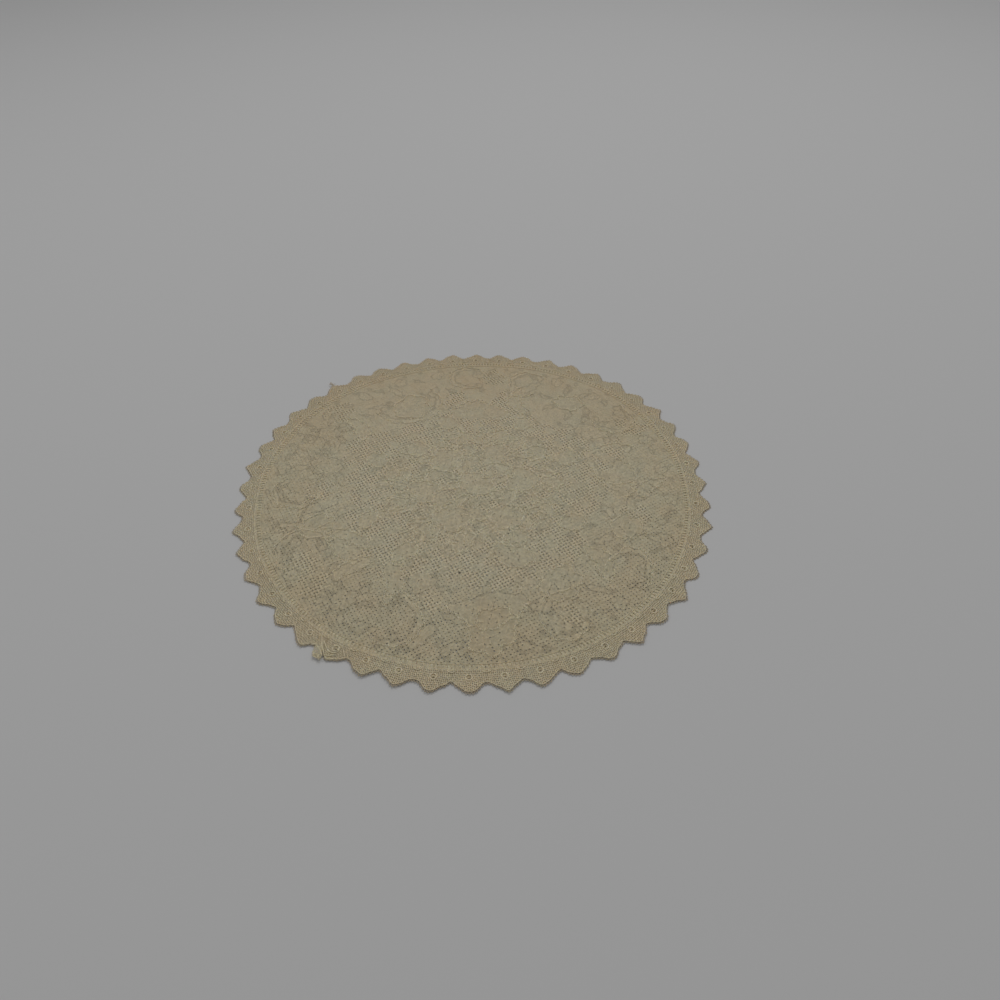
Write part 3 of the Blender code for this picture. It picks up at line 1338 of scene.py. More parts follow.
class PatternChart:
    """Says for each point of the panel whether it is open net, close net or solid cloth."""

    band_start = 70.0
    middle_end = 50.0
    middle_fade = 16.0
    patch_level = 0.10
    patch_loss = 1.1
    patch_slope = 1.4
    line_softness = 0.3

    def __init__(self) -> None:
        """Draws up the list of figures, the large ones last so that they lie over the small."""
        self.figures: list[Figure] = [*self.medallion(), *self.garland(), *self.band()]

    @staticmethod
    def medallion() -> list[Figure]:
        """Draws the busy middle.

        Returns:
            Its figures.
        """
        roses = flowers_of(ROUND_MIDDLE)
        found: list[Figure] = ring_of(Spot, 16, 18.0, 5, size=1.5)
        found += ring_of(Leaf, 8, 8.6, 14, size=10.5, width=0.50, corded=True)
        for rose in roses:
            found += leaves_round(rose, 6, 8.0, 37)
        found += ring_of(Scroll, 6, 31.0, 38, size=4.2, turn=180, width=2.2, corded=True)
        found += ring_of(Shell, 6, 16.5, 36, size=9.0, ribs=5, corded=True)
        found += ring_of(Leaf, 12, 33.5, 22, size=11.5, turn=24, width=0.42, curl=0.2, corded=True)
        found += ring_of(Leaf, 12, 33.5, 17, size=11.0, turn=-30, width=0.40, curl=-0.2, corded=True)
        found += ring_of(Spot, 36, 49.5, 3, size=1.4)
        found += ring_of(Scroll, 12, 48.0, 19, size=4.0, turn=170, width=2.2, corded=True)
        found += ring_of(Flower, 11, 42.5, 4, size=6.2, petals=5, corded=True)
        return [*found, *roses, Flower(2.0, 75, 9.6, petals=8, corded=True)]

    @staticmethod
    def garland() -> list[Figure]:
        """Draws the loose wreath of small sprigs on the open net round the middle.

        Returns:
            Its figures.
        """
        flowers = flowers_of(IN_GARLAND)
        found: list[Figure] = []
        for flower in flowers:
            found += leaves_round(flower, 4, 7.5, 20)
        found += ring_of(Spot, 30, 62.5, 4, size=1.3)
        return [*found, *flowers]

    @staticmethod
    def band() -> list[Figure]:
        """Draws the outer band, its rings of small figures first.

        Returns:
            Its figures.
        """
        blooms = flowers_of(IN_BAND)
        found: list[Figure] = ring_of(Flower, 26, 104.5, 6, size=4.2, petals=5)
        found += ring_of(Leaf, 26, 101.5, 12, size=8.5, turn=62, width=0.36)
        found += ring_of(Leaf, 30, 84.0, 3, size=9.0, turn=35, width=0.36)
        found += ring_of(Spot, 60, 110.2, 1.0, size=1.2)
        for bloom in blooms:
            found += leaves_round(bloom, 6, 15.0 if bloom.size > 8 else 10.0, 24 + bloom.angle % 40)
        for kind, table in ((Scroll, SCROLLS), (Shell, SHELLS), (Leaf, LEAVES)):
            found += [kind(*row) for row in table]
        return [*found, *blooms]

    def ground(self, x: Array, y: Array) -> Array:
        """Finds the plain cloth round the figures.

        Args:
            x: Places on the panel.
            y: Places on the panel.

        Returns:
            How far inside the plain cloth each place lies, negative on open net.
        """
        radius, angle = np.hypot(x, y), np.arctan2(y, x)
        start = self.band_start + 5.0 * np.sin(5 * angle + 0.7) + 2.5 * np.sin(9 * angle + 2.0)
        inside = radius - start - 1.6 * np.abs(np.sin(17 * angle))
        for window_radius, window_angle, size in WINDOWS:
            turn = math.radians(window_angle)
            away_x, away_y = x - window_radius * math.cos(turn), y - window_radius * math.sin(turn)
            lobes = 1 + 0.12 * np.cos(5 * np.arctan2(away_y, away_x))
            inside = np.minimum(inside, np.hypot(away_x, away_y) - size * lobes)
        waves = sum(wave.run(x, y) for wave in PATCH_WAVES)
        fade = np.clip((radius - self.middle_end) / self.middle_fade, 0, 1)
        return np.maximum(inside, (waves - self.patch_level - self.patch_loss * fade) / self.patch_slope)

    @staticmethod
    def wobbled(x: Array, y: Array, way: float) -> tuple[Array, Array]:
        """Returns points moved by all the wobbles, forwards or back."""
        pushes = [wobble.push(x, y) for wobble in WOBBLES]
        return x + way * sum(push[0] for push in pushes), y + way * sum(push[1] for push in pushes)

    def read(self, x: Array, y: Array) -> Reading:
        """Reads the chart.

        Args:
            x: Places on the panel.
            y: Places on the panel.

        Returns:
            The reading at each place, in millimetres.
        """
        x, y = self.wobbled(x, y, 1.0)
        cloth = self.ground(x, y)
        drawn = np.abs(cloth)
        holed = np.ones(cloth.shape, bool)
        for figure in self.figures:
            along, across = figure.local(x, y)
            near = np.hypot(along, across) < figure.size * 1.3 + 6
            body = figure.body(along[near], across[near])
            lines = figure.lines(along[near], across[near])
            inside = body > 0
            cloth[near] = np.maximum(body, cloth[near])
            edge = np.minimum(body, lines + self.line_softness)
            drawn[near] = np.where(inside, edge, np.minimum(drawn[near], -body))
            holed[near] &= ~inside
        return Reading(cloth, np.where(holed, -drawn, drawn), holed)


# ---- The panel ----


@dataclass
class NetPanel:
    """The round panel: an open net, the cloth of the pattern worked into it, and cords on the figures.

    The cloth is worked on sub-cells half a net pitch wide. A net thread lies along each even line of
    sub-cells, and a hole of the net in each cell that is odd both ways.
    """

    chart: PatternChart
    pitch: float = 1.765 * MM
    grain: float = math.radians(30.9)
    reach: float = 115.1 * MM
    middle_height: float = 0.26 * MM
    thread_width: float = 1.47 * MM
    thread_thickness: float = 0.24 * MM
    thread_wave: float = 0.065 * MM
    threads_each_way: int = 132
    tucked_under: float = 0.9 * MM
    cloth_thickness: float = 0.26 * MM
    cloth_cells: int = 263
    cloth_relief: float = 0.03 * MM
    hole_seed: int = 5
    hole_growth: float = 0.385
    hole_growth_slope: float = 0.17
    hole_scatter: float = 0.26
    hole_least: float = 0.28
    line_reach: float = 0.6 * MM
    line_growth: float = 0.48
    line_growth_slope: float = 0.24
    edge_easing: float = 0.4 * MM
    edge_probe: float = 0.2 * MM
    least_slope: float = 0.3
    middle_reach: float = 63.0 * MM
    sway: Sway = Sway(0.16 * MM, (6.1, 27.0, 0.0), (5.3, -31.0, 1.1))
    cord_radius: float = 0.22 * MM
    cord_height: float = 0.48 * MM
    cord_step: float = 0.06 * MM
    cord_margin: float = 3.0 * MM
    crimp: float = 0.50
    crimp_length: float = 2.8
    crimp_steps: int = 4
    dip: float = 0.07 * MM
    dip_start: float = 112.2 * MM

    @property
    def cell(self) -> float:
        """The width of a sub-cell of the cloth."""
        return self.pitch / 2

    def read_chart(self, flat: Array) -> Reading:
        """Reads the chart in metres, at places given along and across the net's threads.

        Args:
            flat: Rows that start with the two distances.

        Returns:
            The reading at each, with no cloth beyond the panel's edge.
        """
        x, y = turned(rows(flat[:, 0], flat[:, 1], 0.0), self.grain)[:, :2].T
        found = self.chart.read(x / MM, y / MM)
        cloth = np.minimum(found.cloth * MM, self.reach - np.hypot(x, y))
        return Reading(cloth, found.drawn * MM, found.holed)

    def laid(self, points: Array) -> Array:
        """Returns points of the panel as they lie: a little uneven, and pressed down at the seam."""
        x, y, z = points.T
        step_x, step_y = self.sway.steps(x, y)
        dip = self.dip * np.clip((np.hypot(x, y) - self.dip_start) / MM, 0, 1)
        return PLAN.laid(rows(x + step_x, y + step_y, z - dip))

    def lay_down(self, obj: Object, along_grain: Array) -> None:
        """Puts a piece's points, given along the grain, where they come to lie."""
        placed = turned(along_grain, self.grain)
        placed[:, 2] += self.middle_height
        move_points(obj, self.laid(placed))

    def string_threads(self, name: str, over: int) -> Object:
        """Makes one set of the net's threads, cut off just inside each patch of cloth.

        Args:
            name: The piece's name.
            over: 1 for the set along the grain, or -1 for the set across it.

        Returns:
            The set in place.
        """
        size = self.thread_width, self.thread_thickness, self.thread_wave
        threads = ThreadSet(self.pitch, self.pitch, *size, steps=2, sides=5)
        first = -self.threads_each_way // 2
        obj = threads.weave(name, (first, first), (self.threads_each_way, self.threads_each_way), over)
        if over < 0:
            move_points(obj, quarter_turn(points_of(obj)))
        middles = np.rint(face_middles(obj)[:, :2] / self.cell) * self.cell
        outside = np.hypot(*middles.T) > self.reach
        cut_away(obj, outside | (self.read_chart(middles).cloth > self.tucked_under))
        close_ends(obj, threads.sides)
        self.lay_down(obj, points_of(obj))
        return obj

    def hole_sizes(self, middles: Array, found: Reading) -> Array:
        """Sizes each sub-cell's hole: larger along drawn lines, smaller far off, none in solid cloth.

        Args:
            middles: The sub-cells' middles along the grain.
            found: The chart's reading there.

        Returns:
            The hole's share of each sub-cell, 0 where there is none.
        """
        odd = (np.rint(middles[:, :2] / self.cell).astype(int) % 2 != 0).all(axis=1)
        chance = self.hole_scatter * (np.random.default_rng(self.hole_seed).random(len(middles)) - 0.5)
        across = turned(middles, self.grain)[:, 1] / self.reach
        plain = (self.hole_growth - self.hole_growth_slope * across + chance) * found.holed
        drawn = self.line_growth - self.line_growth_slope * across + chance
        sizes = np.where(np.abs(found.drawn) < self.line_reach, drawn, plain)
        return np.where(odd & (found.cloth > self.cell) & (sizes > self.hole_least), sizes, 0.0)

    def work_cloth(self, middle_name: str, band_name: str) -> list[tuple[Object, float]]:
        """Makes the cloth of the pattern, with the holes that stay open in it.

        Args:
            middle_name: The name of the piece in the middle.
            band_name: The name of the piece round it.

        Returns:
            Both pieces in place, each with its flat area.
        """
        count, half = self.cloth_cells, self.cloth_cells // 2
        cells = {"x_subdivisions": count, "y_subdivisions": count, "size": count * self.cell}
        obj = named(fresh(bpy.ops.mesh.primitive_grid_add, **cells), band_name)
        middles = face_middles(obj)
        column, row = np.rint(middles[:, :2] / self.cell).astype(int).T + half
        found = self.read_chart(middles)
        covered = found.cloth > 0
        sizes = self.hole_sizes(middles, found)
        cover_map = np.zeros((count + 2, count + 2), bool)
        hole_map = np.zeros((count, count))
        cover_map[column + 1, row + 1] = covered
        hole_map[column, row] = sizes
        flat = points_of(obj)
        set_value(obj, DRAWN, self.read_chart(flat).drawn)
        move_points(obj, self.shape_cloth(flat, cover_map, hole_map))
        cut_away(obj, ~covered | (sizes > 0))
        middle = split_off(obj, np.hypot(*face_middles(obj)[:, :2].T) < self.middle_reach, middle_name)
        pieces = []
        for piece in (middle, obj):
            area = sum(face.area for face in piece.data.polygons)
            apply_modifier(piece, "SOLIDIFY", thickness=self.cloth_thickness, offset=0.0)
            self.lay_down(piece, points_of(piece))
            pieces.append((piece, area))
        return pieces

    def shape_cloth(self, points: Array, cover_map: Array, hole_map: Array) -> Array:
        """Opens the holes, and eases the edges of the cloth to the figures' outlines.

        Args:
            points: The flat grid's points along the grain.
            cover_map: Which cells are covered, by column and row, with a bare cell round them.
            hole_map: The share of each cell that is a hole, by column and row.

        Returns:
            The shaped points.
        """
        half = hole_map.shape[0] // 2
        corner = np.rint(points[:, :2] / self.cell + 0.5).astype(int)
        odd_cell = np.where(corner % 2 == 0, corner - 1, corner)
        column, row = np.clip(odd_cell + half, 0, hole_map.shape[0] - 1).T
        shaped = points.copy()
        share = hole_map[column, row]
        holes = share > 0
        middle = odd_cell[holes] * self.cell
        shaped[holes, :2] = middle + (points[holes, :2] - middle) * share[holes, None]
        reach_x, reach_y = (corner + half + 1).T
        around = sum(cover_map[reach_x - dx, reach_y - dy].astype(int) for dx in (0, 1) for dy in (0, 1))
        edge = (around > 0) & (around < 4)
        shaped[edge, :2] += self.step_to_outline(shaped[edge])
        shaped[:, 2] += self.cloth_relief * ((-1.0) ** corner[:, 0] + (-1.0) ** corner[:, 1]) / 2
        return shaped

    def step_to_outline(self, points: Array) -> Array:
        """Finds the short step that takes each point of an edge to the charted outline.

        Args:
            points: The edge's points along the grain.

        Returns:
            Rows of the step along and across the grain.
        """
        here = self.read_chart(points).cloth
        shifts = (self.edge_probe, 0.0, 0.0), (0.0, self.edge_probe, 0.0)
        slope = rows(*[(self.read_chart(points + shift).cloth - here) / self.edge_probe for shift in shifts])
        steep = np.linalg.norm(slope, axis=1, keepdims=True)
        step = -here[:, None] * slope / np.maximum(steep, self.least_slope) ** 2
        length = np.linalg.norm(step, axis=1, keepdims=True)
        return step * np.minimum(1.0, self.edge_easing / np.maximum(length, 1e-9))

    def crimped(self, route: Array, closed: bool, way: int) -> Array:
        """Gives a flat route in millimetres small swings from side to side, as a worked cord lies.

        Args:
            route: Rows of X and Y.
            closed: Whether the route runs round to its start.
            way: The side of the first swing, 1 or -1.

        Returns:
            The finer route.
        """
        if closed:
            route = np.vstack([route, route[:1]])
        run = np.concatenate([[0.0], np.cumsum(np.linalg.norm(np.diff(route, axis=0), axis=1))])
        waves = max(4, round(run[-1] / self.crimp_length))
        share = np.linspace(0, 1, self.crimp_steps * waves + 1)
        fine = rows(*[np.interp(share * run[-1], run, column) for column in route.T])
        ahead = np.gradient(fine, axis=0)
        ahead /= np.maximum(np.linalg.norm(ahead, axis=1, keepdims=True), 1e-9)
        swing = way * self.crimp * np.sin(math.tau * waves * share)
        fine = fine + swing[:, None] * rows(-ahead[:, 1], ahead[:, 0])
        return fine[:-1] if closed else fine

    def cord_figures(self) -> Object:
        """Lays a looped cord of two strands round each figure that has one.

        Returns:
            The cords in place.
        """
        name = "figure_cords"
        cords = []
        for figure in self.chart.figures:
            if not figure.corded:
                continue
            closed = not isinstance(figure, Open)
            outline = rows(*self.chart.wobbled(*figure.outline().T, -1.0))
            for way in (-1, 1):
                flat = self.crimped(outline, closed, way) * MM
                x, y = flat[np.hypot(*flat.T) < self.reach - self.cord_margin].T
                route = self.laid(rows(x, y, self.cord_height + self.cord_step * way))
                cords.append(corded(name, route, self.cord_radius, 4, closed=closed))
        return join(name, cords)

    def build(self, yarn: Material, cloth: Material, cord: Material) -> None:
        """Builds and dresses the panel's pieces.

        Args:
            yarn: The net threads' material.
            cloth: The worked cloth's material.
            cord: The material of the cords round the figures.
        """
        warps = self.string_threads("net_warps", 1)
        wefts = self.string_threads("net_wefts", -1)
        (middle, middle_area), (band, band_area) = self.work_cloth("middle_cloth", "band_cloth")
        cords = self.cord_figures()
        for piece, material in ((warps, yarn), (wefts, yarn), (middle, cloth), (band, cloth), (cords, cord)):
            dress(piece, material, Part.NET, cut=material == cloth)
        for piece, width, area, others in (
            (middle, 2 * self.middle_reach, middle_area, []),
            (band, 2 * self.reach, band_area, [warps, wefts, cords]),
        ):
            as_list(others)
            log.info("%s: flat %.4f m across, %.5f square metres", piece.name, width, area)


# ---- The edging and what is sewn to it ----


@dataclass
class PointedEdging:
    """The narrow lace strip round the panel: its close mesh, its corded rim and its eyelets' rings.

    It is worked straight, as places along the strip and radii, and then eased round.
    """

    heading: float = 115.0 * MM
    columns: int = 18
    rows: int = 14
    row_pitch: float = 0.92 * MM
    thread_width: float = 0.75 * MM
    thread_thickness: float = 0.22 * MM
    thread_wave: float = 0.085 * MM
    middle_height: float = 0.32 * MM
    lowest: float = 0.01 * MM
    sway: Sway = Sway(0.12 * MM, (3.9, 9.7, 0.0), (4.7, 11.0, 1.0))
    lap_rise: float = 0.28 * MM
    lap_inside: float = 0.45
    lap_end: float = 118.2 * MM
    groove_end: float = 114.6 * MM
    ridge: float = 115.8 * MM
    rim_radius: float = 0.23 * MM
    rim_inset: float = 1.35 * MM
    rim_height: float = 0.12 * MM
    rim_softness: float = 0.80
    rim_blend: float = 2.5 * MM
    rim_steps: int = 32
    picots: int = 11
    picot_steps: int = 6
    picot_radius: float = 0.19 * MM
    picot_depth: float = 0.85 * MM
    picot_gap: float = 0.04 * MM
    picot_rise: float = 0.08 * MM
    ring_radius: float = 1.38 * MM
    ring_thickness: float = 0.28 * MM
    ring_height: float = 0.22 * MM
    ring_flatness: float = 0.85
    ring_stitches: int = 24
    stitch_swell: tuple[float, float] = (1.12, 0.90)
    gathered: float = 0.52 * MM
    sunk: float = 0.28 * MM
    rails: tuple[float, ...] = (112.6 * MM, 115.5 * MM)
    rail_radius: float = 0.17 * MM
    rail_height: float = 0.05 * MM
    rail_steps: int = 16
    arc_radius: float = 0.30 * MM
    arc_reach: float = 1.8 * MM
    arc_start: float = 116.3 * MM
    arc_bow: float = 0.6 * MM
    arc_height: float = 0.24 * MM

    @property
    def tooth_length(self) -> float:
        """The length of strip in one tooth, at the eyelets."""
        return PLAN.tooth_angle * PLAN.eyelet_radius

    @property
    def column_pitch(self) -> float:
        """The distance between the mesh's upright threads."""
        return self.tooth_length / self.columns

    def lapped(self, strip: Array) -> Array:
        """Raises strip points to their height, with a ridge where the two cloths are sewn.

        Args:
            strip: Rows of the place along the strip, the radius and the height.

        Returns:
            The same rows, raised.
        """
        along, radius, height = strip.T
        inside = np.clip((radius - self.groove_end) / (self.ridge - self.groove_end), 0, 1)
        outside = np.clip((self.lap_end - radius) / (self.lap_end - self.ridge), 0, 1)
        share = np.minimum(self.lap_inside + (1 - self.lap_inside) * inside, outside)
        ridge = self.lap_rise * share**2 * (3 - 2 * share)
        return rows(along, radius, height + (self.middle_height + ridge))

    def eased_down(self, strip: Array) -> Array:
        """Returns strip points eased round the panel and laid."""
        return PLAN.laid(PLAN.eased(self.lapped(strip)))

    def weave_tooth(self, name: str, upright: bool) -> Object:
        """Weaves one set of the mesh's threads over one tooth, bare round the eyelet.

        Args:
            name: The new object's name.
            upright: Whether it is the set that runs from the heading to the rim.

        Returns:
            The set with its tooth on X = 0 and its radii along Y.
        """
        size = self.thread_width, self.thread_thickness, self.thread_wave
        half = self.columns // 2
        if upright:
            threads = ThreadSet(self.row_pitch, self.column_pitch, *size, steps=1, sides=4)
            obj = threads.weave(name, (0, 1 - half), (self.rows, self.columns), -1)
            move_points(obj, quarter_turn(points_of(obj)))
        else:
            threads = ThreadSet(self.column_pitch, self.row_pitch, *size, steps=1, sides=4)
            obj = threads.weave(name, (-half, 0), (self.columns, self.rows), 1)
        move_points(obj, points_of(obj) + (0.0, self.heading, 0.0))
        cell = np.array([self.column_pitch, self.row_pitch])
        shift = np.array([0.0, 0.5]) if upright else np.array([0.5, 0.0])
        place = (face_middles(obj)[:, :2] - (0.0, self.heading)) / cell
        middles = (np.rint(place - shift) + shift) * cell + (0.0, self.heading - PLAN.eyelet_radius)
        cut_away(obj, np.hypot(*middles.T) < self.gathered)
        return obj

    def trim_tooth(self, obj: Object) -> None:
        """Cuts the mesh along the two sides of the tooth, and draws it out under the rim cord.

        Args:
            obj: The mesh of one tooth.
        """
        half = self.tooth_length / 2
        side = math.hypot(half, PLAN.worn_depth)
        peak = PLAN.tip_radius - self.rim_inset * side / half
        with editing(obj):
            for way in (-1, 1):
                outwards = (way * PLAN.worn_depth / side, half / side, 0.0)
                bpy.ops.mesh.select_all(action="SELECT")
                bpy.ops.mesh.bisect(plane_co=(0.0, peak, 0.0), plane_no=outwards, clear_outer=True)
        points = points_of(obj)
        straight = peak - np.abs(points[:, 0]) * PLAN.worn_depth / half
        share = np.clip((points[:, 1] - straight) / self.rim_blend + 1, 0, 1)
        edge = self.tooth_line(points[:, 0] / self.tooth_length, self.rim_inset)
        points[:, 1] += (edge - straight) * share
        move_points(obj, points)

    def gather_round_eyelet(self, obj: Object) -> None:
        """Draws the cut ends round the eyelet out to a small hole, sunk inside its ring.

        Args:
            obj: The mesh of one tooth.
        """
        points = points_of(obj)
        away = points[:, :2] - (0.0, PLAN.eyelet_radius)
        distance = np.maximum(np.hypot(*away.T), 1e-6)
        gathered = np.maximum(distance, self.gathered)
        points[:, :2] = (0.0, PLAN.eyelet_radius) + away * (gathered / distance)[:, None]
        sunk = np.clip((self.ring_radius - gathered) / (self.ring_radius - self.gathered), 0, 1)
        points[:, 2] -= self.sunk * sunk
        move_points(obj, points)

    def make_mesh(self) -> Object:
        """Makes the whole edging's mesh from one tooth of it.

        Returns:
            The mesh in place.
        """
        name = "edging_mesh"
        tooth = join(name, [self.weave_tooth(name, upright) for upright in (True, False)])
        self.trim_tooth(tooth)
        self.gather_round_eyelet(tooth)
        repeat(tooth, (self.tooth_length, 0.0, 0.0), PLAN.tooth_count)
        x, y, z = points_of(tooth).T
        step_x, step_y = self.sway.steps(x, y)
        placed = self.eased_down(rows(x + step_x, y + step_y, z))
        placed[:, 2] = np.maximum(placed[:, 2], self.lowest)
        move_points(tooth, placed)
        with editing(tooth):
            bpy.ops.mesh.remove_doubles(threshold=0.02 * MM)
        close_ends(tooth, 0)
        return tooth

    def tooth_line(self, turn: Array, inset: float) -> Array:
        """Returns the radius of the teeth's outline, with soft corners, at each number of teeth along."""
        wave = np.arcsin(self.rim_softness * np.cos(math.tau * turn)) / math.asin(self.rim_softness)
        return PLAN.tip_radius - inset - PLAN.worn_depth * (1 - wave) / 2

    def teeth_along(self, steps: int) -> Array:
        """Returns even places round the whole strip, counted in teeth, so many to a tooth."""
        return np.arange(steps * PLAN.tooth_count) / steps

    def rim_route(self) -> Array:
        """Returns the route of the cord that is laid along the teeth."""
        turn = self.teeth_along(self.rim_steps)
        radius = self.tooth_line(turn, self.rim_inset)
        return self.eased_down(rows(turn * self.tooth_length, radius, self.rim_height))

    def picot_route(self) -> Array:
        """Works out the way of the thread outside the rim cord, which is worked in small picots.

        Returns:
            Its laid route.
        """
        turn = self.teeth_along(self.picot_steps * self.picots)
        picot = (0.5 + 0.5 * np.cos(math.tau * self.picots * turn)) ** 0.8
        radius = self.tooth_line(turn, self.picot_radius + self.picot_depth) + self.picot_depth * picot
        height = self.picot_radius - self.middle_height + self.picot_gap + self.picot_rise * picot
        return self.eased_down(rows(turn * self.tooth_length, radius, height))

    def rail_route(self, radius: float) -> Array:
        """Returns the route of a cord round the strip at one radius."""
        along = self.teeth_along(self.rail_steps) * self.tooth_length
        return self.eased_down(rows(along, radius, self.rail_height))

    def lay_arcs(self) -> Object:
        """Lays the short crescent of cord that lies inside each notch.

        Returns:
            All of them as one.
        """
        name = "notch_crescents"
        share = np.linspace(-1, 1, 9)
        radius = self.arc_start + self.arc_bow * (1 - share**2)
        arcs = []
        for tooth in range(PLAN.tooth_count):
            along = (tooth + 0.5) * self.tooth_length + share * self.arc_reach
            route = self.eased_down(rows(along, radius, self.arc_height))
            arcs.append(corded(name, route, self.arc_radius, 4))
        return join(name, arcs)

    def make_rings(self) -> Object:
        """Makes the buttonholed ring of each eyelet.

        Returns:
            All of them as one.
        """
        ring = fresh(
            bpy.ops.mesh.primitive_torus_add,
            major_segments=self.ring_stitches,
            minor_segments=6,
            major_radius=self.ring_radius,
            minor_radius=self.ring_thickness,
        )
        points = points_of(ring)
        angle = np.arctan2(points[:, 1], points[:, 0])
        spoke = rows(np.cos(angle), np.sin(angle), 0.0) * self.ring_radius
        full = np.rint(angle / (math.tau / self.ring_stitches)) % 2 == 0
        stitch = np.where(full, *self.stitch_swell)
        points = spoke + (points - spoke) * stitch[:, None] * (1.0, 1.0, self.ring_flatness)
        move_points(ring, points + (0.0, PLAN.eyelet_radius, self.ring_height))
        set_value(ring, ALONG, angle * self.ring_radius)
        repeat(ring, (self.tooth_length, 0.0, 0.0), PLAN.tooth_count)
        move_points(ring, self.eased_down(points_of(ring)))
        return named(ring, "eyelet_rings")

    def build(
        self,
        yarn: Material,
        cord: Material,
        shaded_picot_yarn: Material,
        bright: Material,
        also: Sequence[Object],
    ) -> None:
        """Builds and dresses the edging's own pieces.

        Args:
            yarn: The mesh's material.
            cord: The material of the rim and the footing.
            shaded_picot_yarn: The material of the thread outside the rim.
            bright: The material of the eyelets' rings and the crescents.
            also: What is already made and is sewn to the edging or part of it; not used.
        """
        mesh = self.make_mesh()
        rim = corded("rim_cord", self.rim_route(), self.rim_radius, 6, closed=True)
        picots = corded("rim_picots", self.picot_route(), self.picot_radius, 4, closed=True)
        arcs = self.lay_arcs()
        rings = self.make_rings()
        rails = [self.rail_route(radius) for radius in self.rails]
        rails = [corded("rail", route, self.rail_radius, 6, closed=True) for route in rails]
        footing = join("footing_cords", rails)
        dress(mesh, yarn, Part.EDGING)
        # The picots' thread carries painted shade of the rim's shaded outer side.
        dress(picots, shaded_picot_yarn, Part.EDGING)
        for piece, material in ((rings, bright), (arcs, bright), (rim, cord), (footing, cord)):
            dress(piece, material, Part.EDGING)


@dataclass
class SeamStitches:
    """The row of whip stitches, in doubled thread, that holds the heading down on the panel."""

    edging: PointedEdging
    to_a_tooth: int = 8
    inner: float = 112.7 * MM
    outer: float = 115.5 * MM
    slant: float = 0.22
    spacing: float = 0.24
    thread_radius: float = 0.23 * MM
    top: float = 0.12 * MM
    under: float = -0.24 * MM

    def route(self) -> Array:
        """Works out the thread's way: over from the panel to the edging, and back underneath, twice.

        Returns:
            The laid route of the whole seam.
        """
        pitch = self.edging.tooth_length / self.to_a_tooth
        share = np.array([0.0, 0.15, 0.5, 0.85, 1.0])
        over = np.sin(math.pi * share) ** 0.5
        radius = self.inner + (self.outer - self.inner) * share
        bar = rows(self.slant * share, radius, self.under + (self.top - self.under) * over)
        back = (self.slant + self.spacing / 2, (self.inner + self.outer) / 2, self.under)
        once = np.vstack([bar, back])
        stitch = np.vstack([once, once + (self.spacing, 0.0, 0.0)])
        count = self.to_a_tooth * PLAN.tooth_count
        strip = np.tile(stitch, (count, 1))
        strip[:, 0] = (strip[:, 0] + np.repeat(np.arange(count), len(stitch))) * pitch
        return self.edging.eased_down(strip)

    def build(self, thread: Material) -> Object:
        """Builds and dresses the stitches, and returns them."""
        stitches = corded("seam_stitches", self.route(), self.thread_radius, 4, closed=True)
        dress(stitches, thread, Part.EDGING)
        return stitches


